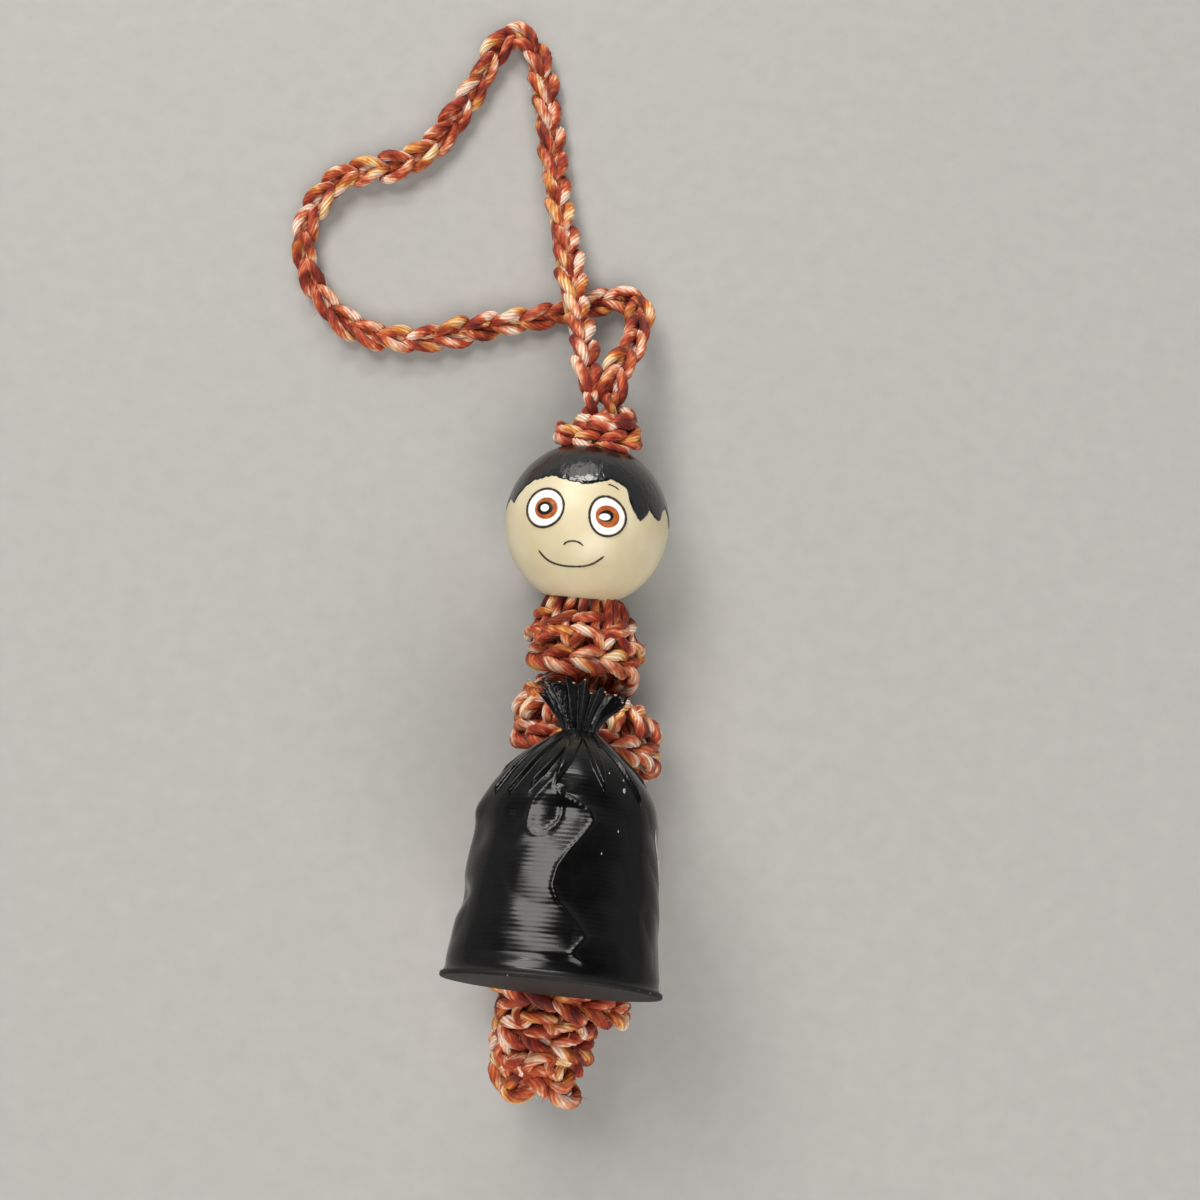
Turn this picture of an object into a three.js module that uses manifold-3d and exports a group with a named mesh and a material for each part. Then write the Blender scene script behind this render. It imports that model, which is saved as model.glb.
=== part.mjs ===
// A crocheted worry worm that lies on its back. A corkscrew strip of crochet hangs from a painted
// wooden bead, a chain-stitch loop comes out of the knot above the bead, and a printed bin bag is
// glued to the front. The worm lies along Y with the loop towards +Y, and its front faces +Z.
import * as THREE from "three";
import { mergeVertices } from "three/addons/utils/BufferGeometryUtils.js";
import Module from "manifold-3d";

const wasm = await Module();
wasm.setup();

// Driving dimensions, in millimetres, degrees and counts

const CLEARANCE = 0.3; // between pieces that touch

const BEAD_DIAMETER = 25;
const BEAD_LENGTH = 22.8; // flat to flat, along the bore
const BEAD_FLAT_DIAMETER = 10.25; // of the flats at its ends
const BEAD_BORE = 8.4;
const HEAD_TILT = 6; // the knot end of the bore is raised
const HEAD_OFFSET = -2.4; // the head lies this far to the side of the body

const CORD_DIAMETER = 4.2; // the chain-stitch cord of the hanging loop
const CORD_END_GAP = 0.5; // between the loop's two ends above the knot
const LEG_DIAMETER = 3; // the same cord squeezed inside the bead
const KNOT_CORD_DIAMETER = 3; // the same cord drawn tight in the knot
const KNOT_RISE = 3.45; // from the knot's lower strand to its upper one
const KNOT_START = -90; // the wrap runs from the left side, past the front, and round again
const KNOT_END = 410;
const KNOT_CROSSING_START = 50; // it climbs to the upper strand between these
const KNOT_CROSSING_END = 270;
const KNOT_SQUARENESS = 3; // how soon the wrap runs straight between the two legs

const STRIP_TURNS = 6.4;
const STRIP_PITCH = 12;
const STRIP_RADIUS = 11.7;
const STRIP_HEIGHT = 20.2; // the corkscrew is a little flatter than it is wide
const STRIP_EDGE_THICKNESS = 5; // at the braided outer edge
const STRIP_ROOT_THICKNESS = 3; // where the stitches enter the foundation chain
const STRIP_ROOT_RADIUS = 3.3;
const STRIP_RISE = 5; // the strip's root sits this far above its edge, like an umbrella
const COLLAR_RADIUS = 9.3;
const COLLAR_DROP = 5.8; // from the top of the neck to the edge where the strip starts
const NECK_RADIUS = 5;
const NECK_GAP = 1.6; // from the bead's flat to the roots of the first stitches
const NECK_LENGTH = 9; // over which the body comes into line with the head
const TAIL_TURNS = 1.9; // the strip ends in smaller and closer turns
const TAIL_PITCH = 6.6;
const TAIL_RADIUS = 7.9;
const TAIL_RISE = 5;
const TAIL_EDGE_THICKNESS = 3.4;
const REST_FLAT = 0.5; // depth of the flat that the soft body presses on the table

const CHAIN_DIAMETER = 2.8; // the foundation chain down the middle of the corkscrew
const CHAIN_JOINT_GAP = 1; // room for the chain to bend at a joint
const CHAIN_END_INSET = 4; // the chain stops this far short of the strip's end

const BAG_WIDTH = 29.4;
const BAG_DEPTH = 22;
const BAG_HEIGHT = 34; // from the base to the pinched neck
const BAG_SHOULDER_WIDTH = 24.8;
const BAG_SHOULDER_HEIGHT = 20.4;
const BAG_NECK_WIDTH = 4.8;
const BAG_FOOT_HEIGHT = 0.9; // the squashed first layers of the print
const BAG_FOOT_LIP = 0.7;
const BAG_PLEATS = 9;
const BAG_PLEAT_DEPTH = 0.16; // as a share of the radius, at the neck
const BAG_TILT = 14; // the base is raised
const BAG_LIFT = 1.2; // the bag's neck lies this far above the edge of the turn behind it
const BAG_SEAT = 1.2; // from the corkscrew to the nearest point of the bag
const TUFT_WIDTH = 12.6;
const TUFT_DEPTH = 5;
const TUFT_HEIGHT = 7;

const GLUE_LENGTH = 5.6; // along the worm
const GLUE_WIDTH = 9;
const GLUE_HEIGHT = 5; // before the bag and the strip press into it
const GLUE_DEPTH = 1.5; // how far the glue runs down behind the front of the strip

// Where the strip is parted, in turns from its start. A whole number is the worm's left side, and
// a quarter turn more is its front. Each part lies across the axis of the joint that bends there.
const NOD_TURN = 0.75;
const SWAY_TURN = 1;
const TAIL_SWAY_TURN = 4;
const TAIL_NOD_TURN = 4.25;
const PART_HALF_TURN = 0.012;

// How finely the round forms are divided
const STEPS_PER_TURN = 24;
const CORD_SIDES = 10;
const THIN_CORD_SIDES = 8;
const KNOT_SIDES = 6;
const CORD_STEPS = 64;
const BEAD_SEGMENTS = 40;
const BEAD_ARC_POINTS = 16;
const BAG_SEGMENTS = 36;

// The route of the hanging loop: x and y from the knot's top, and the height above the table. It
// leaves the knot, runs up and round to the left, and comes back under itself.
const LOOP_ROUTE = [
  [-2.9, 5.5, 14.4],
  [-3.9, 11.6, 11.6],
  [-5.6, 17.8, 8.4],
  [-7.6, 25, 6.3],
  [-9.6, 33, 4.2],
  [-12.1, 43.5, 2.5],
  [-14.2, 52.5, 2.2],
  [-16.3, 60, 2.2],
  [-18.4, 64.8, 2.2],
  [-21.6, 67, 2.2],
  [-24.4, 64, 2.2],
  [-26.8, 57.8, 2.2],
  [-29.7, 51, 2.2],
  [-33.5, 45.2, 2.2],
  [-38.4, 41.5, 2.2],
  [-43.8, 39.8, 2.2],
  [-48.6, 36.6, 2.2],
  [-51.6, 31.6, 2.2],
  [-51.9, 25.5, 2.2],
  [-49.4, 19.2, 2.2],
  [-45.2, 14.4, 2.2],
  [-39.6, 11.8, 2.2],
  [-33.4, 11.4, 2.2],
  [-27.6, 12.7, 2.2],
  [-21.3, 14.8, 2.2],
  [-14.9, 16.8, 2.2],
  [-8.6, 19, 2.2],
  [-3.6, 20.9, 2.3],
  [0.8, 22.2, 2.7],
  [3.9, 20.9, 3.9],
  [4.5, 16.8, 6.8],
  [3.9, 11.4, 10.8],
  [2.8, 5.6, 14.2],
];

// Materials

const yarn = new THREE.MeshStandardMaterial({ color: 0xb5562f, roughness: 0.85, metalness: 0 });
const wood = new THREE.MeshStandardMaterial({ color: 0xe3d3a8, roughness: 0.35, metalness: 0 });
const print = new THREE.MeshStandardMaterial({ color: 0x101113, roughness: 0.25, metalness: 0 });
const glue = new THREE.MeshStandardMaterial({ color: 0xe4ded0, roughness: 0.3, metalness: 0 });

// Small helpers

const radians = THREE.MathUtils.degToRad;
const mix = THREE.MathUtils.lerp;
const ease = THREE.MathUtils.smoothstep;

function solidOf(geometry) {
  const bare = geometry.clone();
  bare.deleteAttribute("normal");
  bare.deleteAttribute("uv");
  const merged = mergeVertices(bare, 1e-4);
  return new wasm.Manifold(
    new wasm.Mesh({
      numProp: 3,
      vertProperties: merged.attributes.position.array,
      triVerts: new Uint32Array(merged.index.array),
    }),
  );
}

function geometryOf(solid) {
  const mesh = solid.getMesh();
  return new THREE.BufferGeometry()
    .setAttribute("position", new THREE.BufferAttribute(mesh.vertProperties, 3))
    .setIndex(new THREE.BufferAttribute(mesh.triVerts, 1));
}

function add(group, name, geometry, material) {
  const mesh = new THREE.Mesh(geometry, material);
  mesh.name = name;
  group.add(mesh);
  return mesh;
}

// A closed skin over a row of convex rings that have the same number of points.
function loft(rings) {
  const sides = rings[0].length;
  const last = rings.length - 1;
  const points = rings.flat();
  const faces = [];
  for (let r = 0; r < last; r++) {
    for (let s = 0; s < sides; s++) {
      const a = r * sides + s;
      const b = r * sides + ((s + 1) % sides);
      faces.push(a, b, a + sides, b, b + sides, a + sides);
    }
  }
  for (let s = 1; s < sides - 1; s++) {
    faces.push(0, s + 1, s);
    faces.push(last * sides, last * sides + s, last * sides + s + 1);
  }
  return new THREE.BufferGeometry().setFromPoints(points).setIndex(faces);
}

// A round cord along a curve.
function cord(curve, diameter, sides, steps) {
  const section = new THREE.Shape();
  section.absarc(0, 0, diameter / 2, 0, 2 * Math.PI);
  const outline = new THREE.Shape(section.getSpacedPoints(sides).slice(0, sides));
  return new THREE.ExtrudeGeometry(outline, { steps, extrudePath: curve, bevelEnabled: false });
}

// The least distance between points of a winding that lie over half a turn apart, less its thickness.
function leastGap(points, perTurn, thickness) {
  let least = Infinity;
  points.forEach((p, i) => {
    points.slice(i + Math.ceil(perTurn / 2)).forEach((q) => {
      least = Math.min(least, p.distanceTo(q));
    });
  });
  return least - thickness;
}

// The bead, the knot above it and the cord's two legs through its bore. The head's own frame has
// its origin at the bead's centre and Y along the bore.

const headHeight = BEAD_DIAMETER / 2;
const beadEnd = BEAD_LENGTH / 2;
const legSpacing = CORD_DIAMETER + CORD_END_GAP;

function beadGeometry() {
  const radius = BEAD_DIAMETER / 2;
  const bore = BEAD_BORE / 2;
  const flatAngle = Math.acos(BEAD_FLAT_DIAMETER / BEAD_DIAMETER);
  const pole = beadEnd / Math.sin(flatAngle);
  const profile = [new THREE.Vector2(bore, -beadEnd)];
  for (let i = 0; i <= BEAD_ARC_POINTS; i++) {
    const angle = mix(-flatAngle, flatAngle, i / BEAD_ARC_POINTS);
    profile.push(new THREE.Vector2(radius * Math.cos(angle), pole * Math.sin(angle)));
  }
  profile.push(new THREE.Vector2(bore, beadEnd));
  profile.push(profile[0].clone());
  return new THREE.LatheGeometry(profile, BEAD_SEGMENTS);
}

const knotBottom = beadEnd + CLEARANCE + KNOT_CORD_DIAMETER / 2;
const knotTop = knotBottom + KNOT_RISE + KNOT_CORD_DIAMETER / 2;
const legTop = knotTop;
const legBottom = -(beadEnd + NECK_GAP);

// The wrap goes round both legs, straight across their front and back and round their outer sides.
function knotPoints() {
  const round = LEG_DIAMETER / 2 + CLEARANCE + KNOT_CORD_DIAMETER / 2;
  const steps = Math.round((STEPS_PER_TURN * (KNOT_END - KNOT_START)) / 360);
  const points = [];
  for (let i = 0; i <= steps; i++) {
    const angle = mix(KNOT_START, KNOT_END, i / steps);
    const side = Math.sin(radians(angle));
    const x = round * side + (legSpacing / 2) * THREE.MathUtils.clamp(KNOT_SQUARENESS * side, -1, 1);
    const y = knotBottom + KNOT_RISE * ease(angle, KNOT_CROSSING_START, KNOT_CROSSING_END);
    points.push(new THREE.Vector3(x, y, round * Math.cos(radians(angle))));
  }
  return points;
}

function headGroup() {
  const head = new THREE.Group();
  add(head, "bead_head", beadGeometry(), wood);
  const knot = knotPoints();
  console.log("knot, least gap to itself", leastGap(knot, STEPS_PER_TURN, KNOT_CORD_DIAMETER).toFixed(2));
  const wrap = new THREE.CatmullRomCurve3(knot);
  add(head, "loop_knot", cord(wrap, KNOT_CORD_DIAMETER, KNOT_SIDES, knot.length - 1), yarn);
  for (const [name, side] of [["cord_leg_left", -1], ["cord_leg_right", 1]]) {
    const leg = new THREE.CylinderGeometry(
      LEG_DIAMETER / 2, LEG_DIAMETER / 2, legTop - legBottom, THIN_CORD_SIDES,
    );
    const mesh = add(head, name, leg, yarn);
    mesh.position.set((side * legSpacing) / 2, (legTop + legBottom) / 2, 0);
  }
  head.rotation.x = radians(HEAD_TILT);
  head.position.set(HEAD_OFFSET, 0, headHeight);
  head.updateMatrixWorld(true);
  return head;
}

// The hanging loop, whose round ends stand on the two legs and turn there.

function loopGeometry(head) {
  const endY = legTop + CLEARANCE + CORD_DIAMETER / 2;
  const ends = [-1, 1].map((side) =>
    head.localToWorld(new THREE.Vector3((side * legSpacing) / 2, endY, 0)),
  );
  const top = head.localToWorld(new THREE.Vector3(0, legTop, 0));
  const route = LOOP_ROUTE.map(([x, y, height]) => new THREE.Vector3(top.x + x, top.y + y, height));
  const curve = new THREE.CatmullRomCurve3([ends[0], ...route, ends[1]]);
  curve.arcLengthDivisions = 600;
  console.log("hanging loop, length", curve.getLength().toFixed(1));
  let loop = solidOf(cord(curve, CORD_DIAMETER, CORD_SIDES, CORD_STEPS));
  for (const end of ends) {
    const ball = new THREE.SphereGeometry(CORD_DIAMETER / 2, CORD_SIDES, CORD_SIDES / 2);
    loop = loop.add(solidOf(ball.translate(end.x, end.y, end.z)));
  }
  return geometryOf(loop);
}

// The corkscrew strip. A place on it is given in turns from its start at the worm's left side.

const neckTop = legBottom - CLEARANCE;
const neckHeight = headHeight + neckTop * Math.sin(radians(HEAD_TILT));
const edgeStart = neckTop - COLLAR_DROP;
const bodyHeight = STRIP_HEIGHT / 2 - REST_FLAT;
const flatness = STRIP_HEIGHT / (2 * STRIP_RADIUS);

// Where the middle of the corkscrew runs: in line with the head at the neck, and on the table below.
function bodyAxis(y) {
  const settled = ease(neckTop - y, 0, NECK_LENGTH);
  return new THREE.Vector3(mix(HEAD_OFFSET, 0, settled), y, mix(neckHeight, bodyHeight, settled));
}

const tailStart = STRIP_TURNS - TAIL_TURNS;

// How far the strip has narrowed into the tail, from 0 to 1.
function tailShare(turn) {
  return ease(turn, tailStart, tailStart + 0.55);
}

function edgeY(turn) {
  const body = Math.min(turn, tailStart);
  return edgeStart - STRIP_PITCH * body - TAIL_PITCH * (turn - body);
}

function edgeRadius(turn) {
  const body = mix(COLLAR_RADIUS, STRIP_RADIUS, ease(turn, 0.55, 1.15));
  return mix(body, TAIL_RADIUS, tailShare(turn));
}

function rootY(turn) {
  const rise = mix(STRIP_RISE, TAIL_RISE, tailShare(turn));
  return mix(neckTop, edgeY(turn) + rise, ease(turn, 0.3, 1.1));
}

function rootRadius(turn) {
  return mix(NECK_RADIUS, STRIP_ROOT_RADIUS, ease(turn, 0.3, 1.1));
}

// The strip's section at a turn: a bar from the root to a blunt braided edge, grown by a margin. The
// edge's outer corner lies at the edge's radius.
function stripSection(turn, margin) {
  const angle = 2 * Math.PI * turn - Math.PI / 2;
  const root = new THREE.Vector2(rootRadius(turn), rootY(turn));
  const edge = new THREE.Vector2(edgeRadius(turn), edgeY(turn));
  const axis = bodyAxis((root.y + edge.y) / 2);
  const along = edge.clone().sub(root).normalize();
  const across = new THREE.Vector2(-along.y, along.x);
  const edgeThickness = mix(STRIP_EDGE_THICKNESS, TAIL_EDGE_THICKNESS, tailShare(turn));
  edge.x -= (across.x * edgeThickness) / 4;
  root.addScaledVector(along, -margin);
  edge.addScaledVector(along, margin);
  const rootHalf = STRIP_ROOT_THICKNESS / 2 + margin;
  const edgeHalf = edgeThickness / 2 + margin;
  const shoulder = edge.clone().addScaledVector(along, -edgeHalf / 2);
  const corners = [
    root.clone().addScaledVector(across, rootHalf),
    shoulder.clone().addScaledVector(across, edgeHalf),
    edge.clone().addScaledVector(across, edgeHalf / 2),
    edge.clone().addScaledVector(across, -edgeHalf / 2),
    shoulder.clone().addScaledVector(across, -edgeHalf),
    root.clone().addScaledVector(across, -rootHalf),
  ];
  return corners.map(
    (c) =>
      new THREE.Vector3(
        axis.x + c.x * Math.sin(angle),
        c.y,
        axis.z + c.x * Math.cos(angle) * flatness,
      ),
  );
}

function stripGeometry(from, to, margin = 0) {
  const steps = Math.max(2, Math.round((to - from) * STEPS_PER_TURN));
  const rings = [];
  for (let i = 0; i <= steps; i++) {
    rings.push(stripSection(mix(from, to, i / steps), margin));
  }
  return loft(rings);
}

// A stretch of the strip, with its back pressed flat on the table.
function lyingStrip(from, to) {
  const under = new THREE.BoxGeometry(8 * STRIP_RADIUS, 8 * STRIP_RADIUS, STRIP_HEIGHT);
  under.translate(0, (edgeY(from) + edgeY(to)) / 2, -STRIP_HEIGHT / 2);
  return geometryOf(solidOf(stripGeometry(from, to)).subtract(solidOf(under)));
}

// The foundation chain between two places along the worm.
function chainGeometry(fromY, toY) {
  const steps = Math.max(2, Math.round((fromY - toY) / CHAIN_DIAMETER));
  const points = [];
  for (let i = 0; i <= steps; i++) {
    points.push(bodyAxis(mix(fromY, toY, i / steps)));
  }
  return cord(new THREE.CatmullRomCurve3(points), CHAIN_DIAMETER, THIN_CORD_SIDES, steps);
}

// The foundation chain bends level with the middle of the strip.
function jointY(turn) {
  return (rootY(turn) + edgeY(turn)) / 2;
}

function wormGroup() {
  const worm = new THREE.Group();
  const edges = [];
  for (let i = 0; i <= STRIP_TURNS * STEPS_PER_TURN; i++) {
    edges.push(...stripSection(i / STEPS_PER_TURN, 0));
  }
  const perTurn = edges.length / STRIP_TURNS;
  console.log("strip, least gap to itself", leastGap(edges, 1.6 * perTurn, 0).toFixed(2));
  const stretches = [
    ["ruffle_collar", 0, NOD_TURN],
    ["ruffle_shoulder", NOD_TURN, SWAY_TURN],
    ["ruffle_turn_2", SWAY_TURN, SWAY_TURN + 1],
    ["ruffle_turn_3", SWAY_TURN + 1, TAIL_SWAY_TURN - 1],
    ["ruffle_turn_4", TAIL_SWAY_TURN - 1, TAIL_SWAY_TURN],
    ["ruffle_hip", TAIL_SWAY_TURN, TAIL_NOD_TURN],
    ["ruffle_tail", TAIL_NOD_TURN, STRIP_TURNS],
  ];
  for (const [name, from, to] of stretches) {
    const start = from === 0 ? from : from + PART_HALF_TURN;
    const end = to === STRIP_TURNS ? to : to - PART_HALF_TURN;
    add(worm, name, lyingStrip(start, end), yarn);
  }
  const chains = [
    ["foundation_chain_neck", neckTop, jointY(NOD_TURN)],
    ["foundation_chain_shoulder", jointY(NOD_TURN), jointY(SWAY_TURN)],
    ["foundation_chain_middle", jointY(SWAY_TURN), jointY(TAIL_SWAY_TURN)],
    ["foundation_chain_hip", jointY(TAIL_SWAY_TURN), jointY(TAIL_NOD_TURN)],
    ["foundation_chain_tail", jointY(TAIL_NOD_TURN), rootY(STRIP_TURNS) + CHAIN_END_INSET],
  ];
  const bend = CHAIN_JOINT_GAP / 2;
  chains.forEach(([name, from, to], i) => {
    const top = i === 0 ? from : from - bend;
    const bottom = i === chains.length - 1 ? to : to + bend;
    add(worm, name, chainGeometry(top, bottom), yarn);
  });
  return worm;
}

// The printed bin bag. Its own frame has its origin at the middle of the base and Y up to the tuft.

function bagProfile(margin) {
  const half = BAG_WIDTH / 2 + margin;
  const wall = half - BAG_FOOT_LIP;
  const shoulder = BAG_SHOULDER_WIDTH / 2 + margin;
  const neck = BAG_NECK_WIDTH / 2 + margin;
  const tuft = TUFT_WIDTH / 2 + margin;
  const crown = BAG_HEIGHT - BAG_SHOULDER_HEIGHT;
  const sides = new THREE.SplineCurve([
    new THREE.Vector2(wall, 2 * BAG_FOOT_HEIGHT),
    new THREE.Vector2(mix(wall, shoulder, 0.45), BAG_SHOULDER_HEIGHT / 2),
    new THREE.Vector2(shoulder, BAG_SHOULDER_HEIGHT),
  ]);
  const crownCurve = new THREE.CubicBezierCurve(
    new THREE.Vector2(shoulder, BAG_SHOULDER_HEIGHT),
    new THREE.Vector2(shoulder, BAG_SHOULDER_HEIGHT + 0.45 * crown),
    new THREE.Vector2(mix(neck, shoulder, 0.45), BAG_HEIGHT - 0.26 * crown),
    new THREE.Vector2(neck, BAG_HEIGHT),
  );
  const fan = new THREE.QuadraticBezierCurve(
    new THREE.Vector2(neck, BAG_HEIGHT),
    new THREE.Vector2(neck, BAG_HEIGHT + 0.25 * TUFT_HEIGHT),
    new THREE.Vector2(tuft, BAG_HEIGHT + TUFT_HEIGHT),
  );
  return [
    new THREE.Vector2(0, -margin),
    new THREE.Vector2(half, -margin),
    new THREE.Vector2(half, BAG_FOOT_HEIGHT),
    ...sides.getPoints(5),
    ...crownCurve.getPoints(7).slice(1),
    ...fan.getPoints(4).slice(1),
    new THREE.Vector2(0, BAG_HEIGHT + TUFT_HEIGHT + margin),
  ];
}

function bagGeometry(margin = 0) {
  const geometry = new THREE.LatheGeometry(bagProfile(margin), BAG_SEGMENTS);
  const position = geometry.getAttribute("position");
  const point = new THREE.Vector3();
  for (let i = 0; i < position.count; i++) {
    point.fromBufferAttribute(position, i);
    const gathered = ease(point.y, BAG_SHOULDER_HEIGHT, BAG_HEIGHT);
    const opened = ease(point.y, BAG_HEIGHT, BAG_HEIGHT + TUFT_HEIGHT);
    const around = Math.atan2(point.x, point.z);
    const pleat = 1 - BAG_PLEAT_DEPTH * gathered * (0.5 - 0.5 * Math.cos(BAG_PLEATS * around));
    const closed = mix(BAG_DEPTH / BAG_WIDTH, 1, gathered);
    const depth = mix(closed, TUFT_DEPTH / TUFT_WIDTH, opened);
    position.setXYZ(i, point.x * pleat, point.y, point.z * pleat * depth);
  }
  return geometry;
}

const coilFront = bodyHeight + STRIP_HEIGHT / 2;
const bagTurn = SWAY_TURN + 0.25; // the bag's neck lies on the front of this turn

function placedBag(margin) {
  const tilted = bagGeometry(margin).rotateX(radians(-BAG_TILT));
  const seat = bagGeometry().rotateX(radians(-BAG_TILT));
  seat.computeBoundingBox();
  const baseY = edgeY(bagTurn) + BAG_LIFT - BAG_HEIGHT * Math.cos(radians(BAG_TILT));
  return tilted.translate(0, baseY, coilFront + BAG_SEAT - seat.boundingBox.min.z);
}

// A dab of hot glue between the front of a turn and the bag, with the shape that they press into it.
function glueGeometry(turn) {
  const dab = new THREE.SphereGeometry(0.5, 16, 10).rotateX(Math.PI / 2);
  dab.scale(GLUE_WIDTH, GLUE_LENGTH, GLUE_HEIGHT);
  dab.translate(0, edgeY(turn) + GLUE_LENGTH / 6, coilFront - GLUE_DEPTH + GLUE_HEIGHT / 2);
  return geometryOf(
    solidOf(dab)
      .subtract(solidOf(placedBag(CLEARANCE)))
      .subtract(solidOf(stripGeometry(turn - 0.3, turn + 0.3, CLEARANCE))),
  );
}

function bagGroup() {
  const bag = new THREE.Group();
  add(bag, "bin_bag", placedBag(0), print);
  add(bag, "glue_dab_upper", glueGeometry(bagTurn + 1), glue);
  add(bag, "glue_dab_lower", glueGeometry(bagTurn + 2), glue);
  return bag;
}

// The whole part, with its origin on the table under the middle of everything but the loop

const toy = new THREE.Group();
const head = headGroup();
toy.add(head, wormGroup(), bagGroup());
const box = new THREE.Box3().setFromObject(toy, true);
const middle = box.getCenter(new THREE.Vector3());

const part = new THREE.Group();
part.add(toy);
add(part, "hanging_loop", loopGeometry(head), yarn);
part.position.set(-middle.x, -middle.y, 0);

export default part;
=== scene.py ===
import math

import bmesh
import bpy
import numpy as np
from mathutils import Matrix, Vector, noise


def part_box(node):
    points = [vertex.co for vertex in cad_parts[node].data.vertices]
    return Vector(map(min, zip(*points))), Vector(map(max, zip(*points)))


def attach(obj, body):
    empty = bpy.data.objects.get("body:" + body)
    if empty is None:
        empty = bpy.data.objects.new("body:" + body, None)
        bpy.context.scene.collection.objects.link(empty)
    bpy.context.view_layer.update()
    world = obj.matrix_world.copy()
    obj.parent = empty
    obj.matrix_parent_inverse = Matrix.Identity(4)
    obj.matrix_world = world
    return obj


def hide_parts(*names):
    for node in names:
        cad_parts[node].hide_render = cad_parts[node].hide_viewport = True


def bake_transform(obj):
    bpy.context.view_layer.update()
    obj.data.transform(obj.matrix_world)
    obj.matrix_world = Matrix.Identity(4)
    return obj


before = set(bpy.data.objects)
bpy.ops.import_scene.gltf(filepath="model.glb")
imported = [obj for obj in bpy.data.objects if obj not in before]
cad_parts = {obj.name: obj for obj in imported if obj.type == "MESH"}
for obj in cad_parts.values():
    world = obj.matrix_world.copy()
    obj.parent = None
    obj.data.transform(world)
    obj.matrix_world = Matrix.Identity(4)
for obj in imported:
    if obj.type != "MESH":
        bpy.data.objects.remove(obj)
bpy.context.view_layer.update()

# Cotton yarn and foundation chain
# One ball of variegated double-knitting cotton makes the whole worm. Its plies are spun together, and each
# is dyed in runs of rust, orange, gold, cream and pale pink. The first stitches are a short chain in the
# middle. Lengths are in mm.
MM = 0.001
YARN_RADIUS = 0.75
PLIES = 8
PLY_GROOVE = 0.88
GROOVE_RIM = 0.97
TWIST_PITCH = 9.5
YARN_STEP = 0.5
PAIR_STEP = 0.4
SPAN_POINTS = 8
BALL_LENGTH = 900
DYE_RUN = 5
DYE_WIDTH = 2.8
GOLD_RUN = 22
GOLD_WIDTH = 2.5
BUNDLE_LENGTH = 2.4
BUNDLE_WIDTH = 0.15
FIBRE_DIAMETER = 0.056
FIBRE_SPACING = 3
FIBRE_STAND = np.array([0.8, 1.0, 1.1, 1.16])
FIBRE_REACH = np.array([0, 0.3, 0.8, 1.3])
FIBRE_FLOOR = 0.06
slack = np.random.default_rng(5)


def linear(code):
    """An sRGB hex colour as the linear colour that a shader takes."""
    parts = [int(code[i:i + 2], 16) / 255 for i in (1, 3, 5)]
    return [p / 12.92 if p <= 0.04045 else ((p + 0.055) / 1.055) ** 2.4 for p in parts] + [1.0]


def node(tree, kind, inputs=None, **settings):
    """Adds a node with its settings, and fills its inputs with values or with other nodes' outputs."""
    made = tree.nodes.new(kind)
    for name, value in settings.items():
        setattr(made, name, value)
    for key, value in (inputs or {}).items():
        if isinstance(value, bpy.types.NodeSocket):
            tree.links.new(value, made.inputs[key])
        else:
            made.inputs[key].default_value = value
    return made


def ramp(tree, value, *stops):
    """The colours that a value takes, from stops of a value and a hex colour."""
    made = node(tree, "ShaderNodeValToRGB", {"Fac": value})
    elements = made.color_ramp.elements
    for element, (place, colour) in zip(elements[:], (stops[0], stops[-1])):
        element.position = place
        element.color = linear(colour)
    for place, colour in stops[1:-1]:
        elements.new(place).color = linear(colour)
    return made.outputs[0]


def remap(tree, value, low, high, new_low=0.0, new_high=1.0):
    """A value carried from one range to another, and held inside it."""
    ranges = {"From Min": low, "From Max": high, "To Min": new_low, "To Max": new_high}
    return node(tree, "ShaderNodeMapRange", {"Value": value, **ranges}).outputs[0]


def patches(tree, places, size, detail):
    """Noise in patches of a size in mm."""
    inputs = {"Vector": places, "Scale": 1 / (size * MM), "Detail": detail}
    return node(tree, "ShaderNodeTexNoise", inputs).outputs["Fac"]


def mottled(tree, shade, size, detail, *stops):
    """Colours a surface in patches of a size in mm, and returns the places on it."""
    places = node(tree, "ShaderNodeTexCoord").outputs["Object"]
    colours = ramp(tree, patches(tree, places, size, detail), *stops)
    tree.links.new(colours, shade.inputs["Base Color"])
    return places


def relief(tree, shade, height, strength, depth):
    """Raises a pattern on a surface, up to a depth in mm, over the patterns that it has already."""
    inputs = {"Height": height, "Strength": strength, "Distance": depth * MM}
    for link in shade.inputs["Normal"].links:
        inputs["Normal"] = link.from_socket
    made = node(tree, "ShaderNodeBump", inputs)
    tree.links.new(made.outputs[0], shade.inputs["Normal"])


def finish_named(name, **sockets):
    """A new material, with the values that are the same all over its surface set on its shader."""
    made = bpy.data.materials.new(name)
    made.use_nodes = True
    shade = made.node_tree.nodes["Principled BSDF"]
    for socket, value in sockets.items():
        shade.inputs[socket.replace("_", " ")].default_value = value
    return made, made.node_tree, shade


def linked(name, data):
    """A new object of the scene."""
    made = bpy.data.objects.new(name, data)
    bpy.context.collection.objects.link(made)
    return made


def mesh_of(form, name):
    """A new mesh with a finished form."""
    mesh = bpy.data.meshes.new(name)
    form.to_mesh(mesh)
    form.free()
    return mesh


def along_yarn(tree, strand, width, length, detail, roughness=0.5, location=(0, 0, 0)):
    """Noise in patches of a width and a length in mm, which follow the yarn."""
    scale = (1 / (width * MM), 1 / (width * MM), 1 / (length * MM))
    places = node(tree, "ShaderNodeMapping", {"Vector": strand, "Scale": scale, "Location": location})
    inputs = {"Vector": places.outputs[0], "Scale": 1.0, "Detail": detail, "Roughness": roughness}
    return node(tree, "ShaderNodeTexNoise", inputs).outputs["Fac"]


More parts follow.
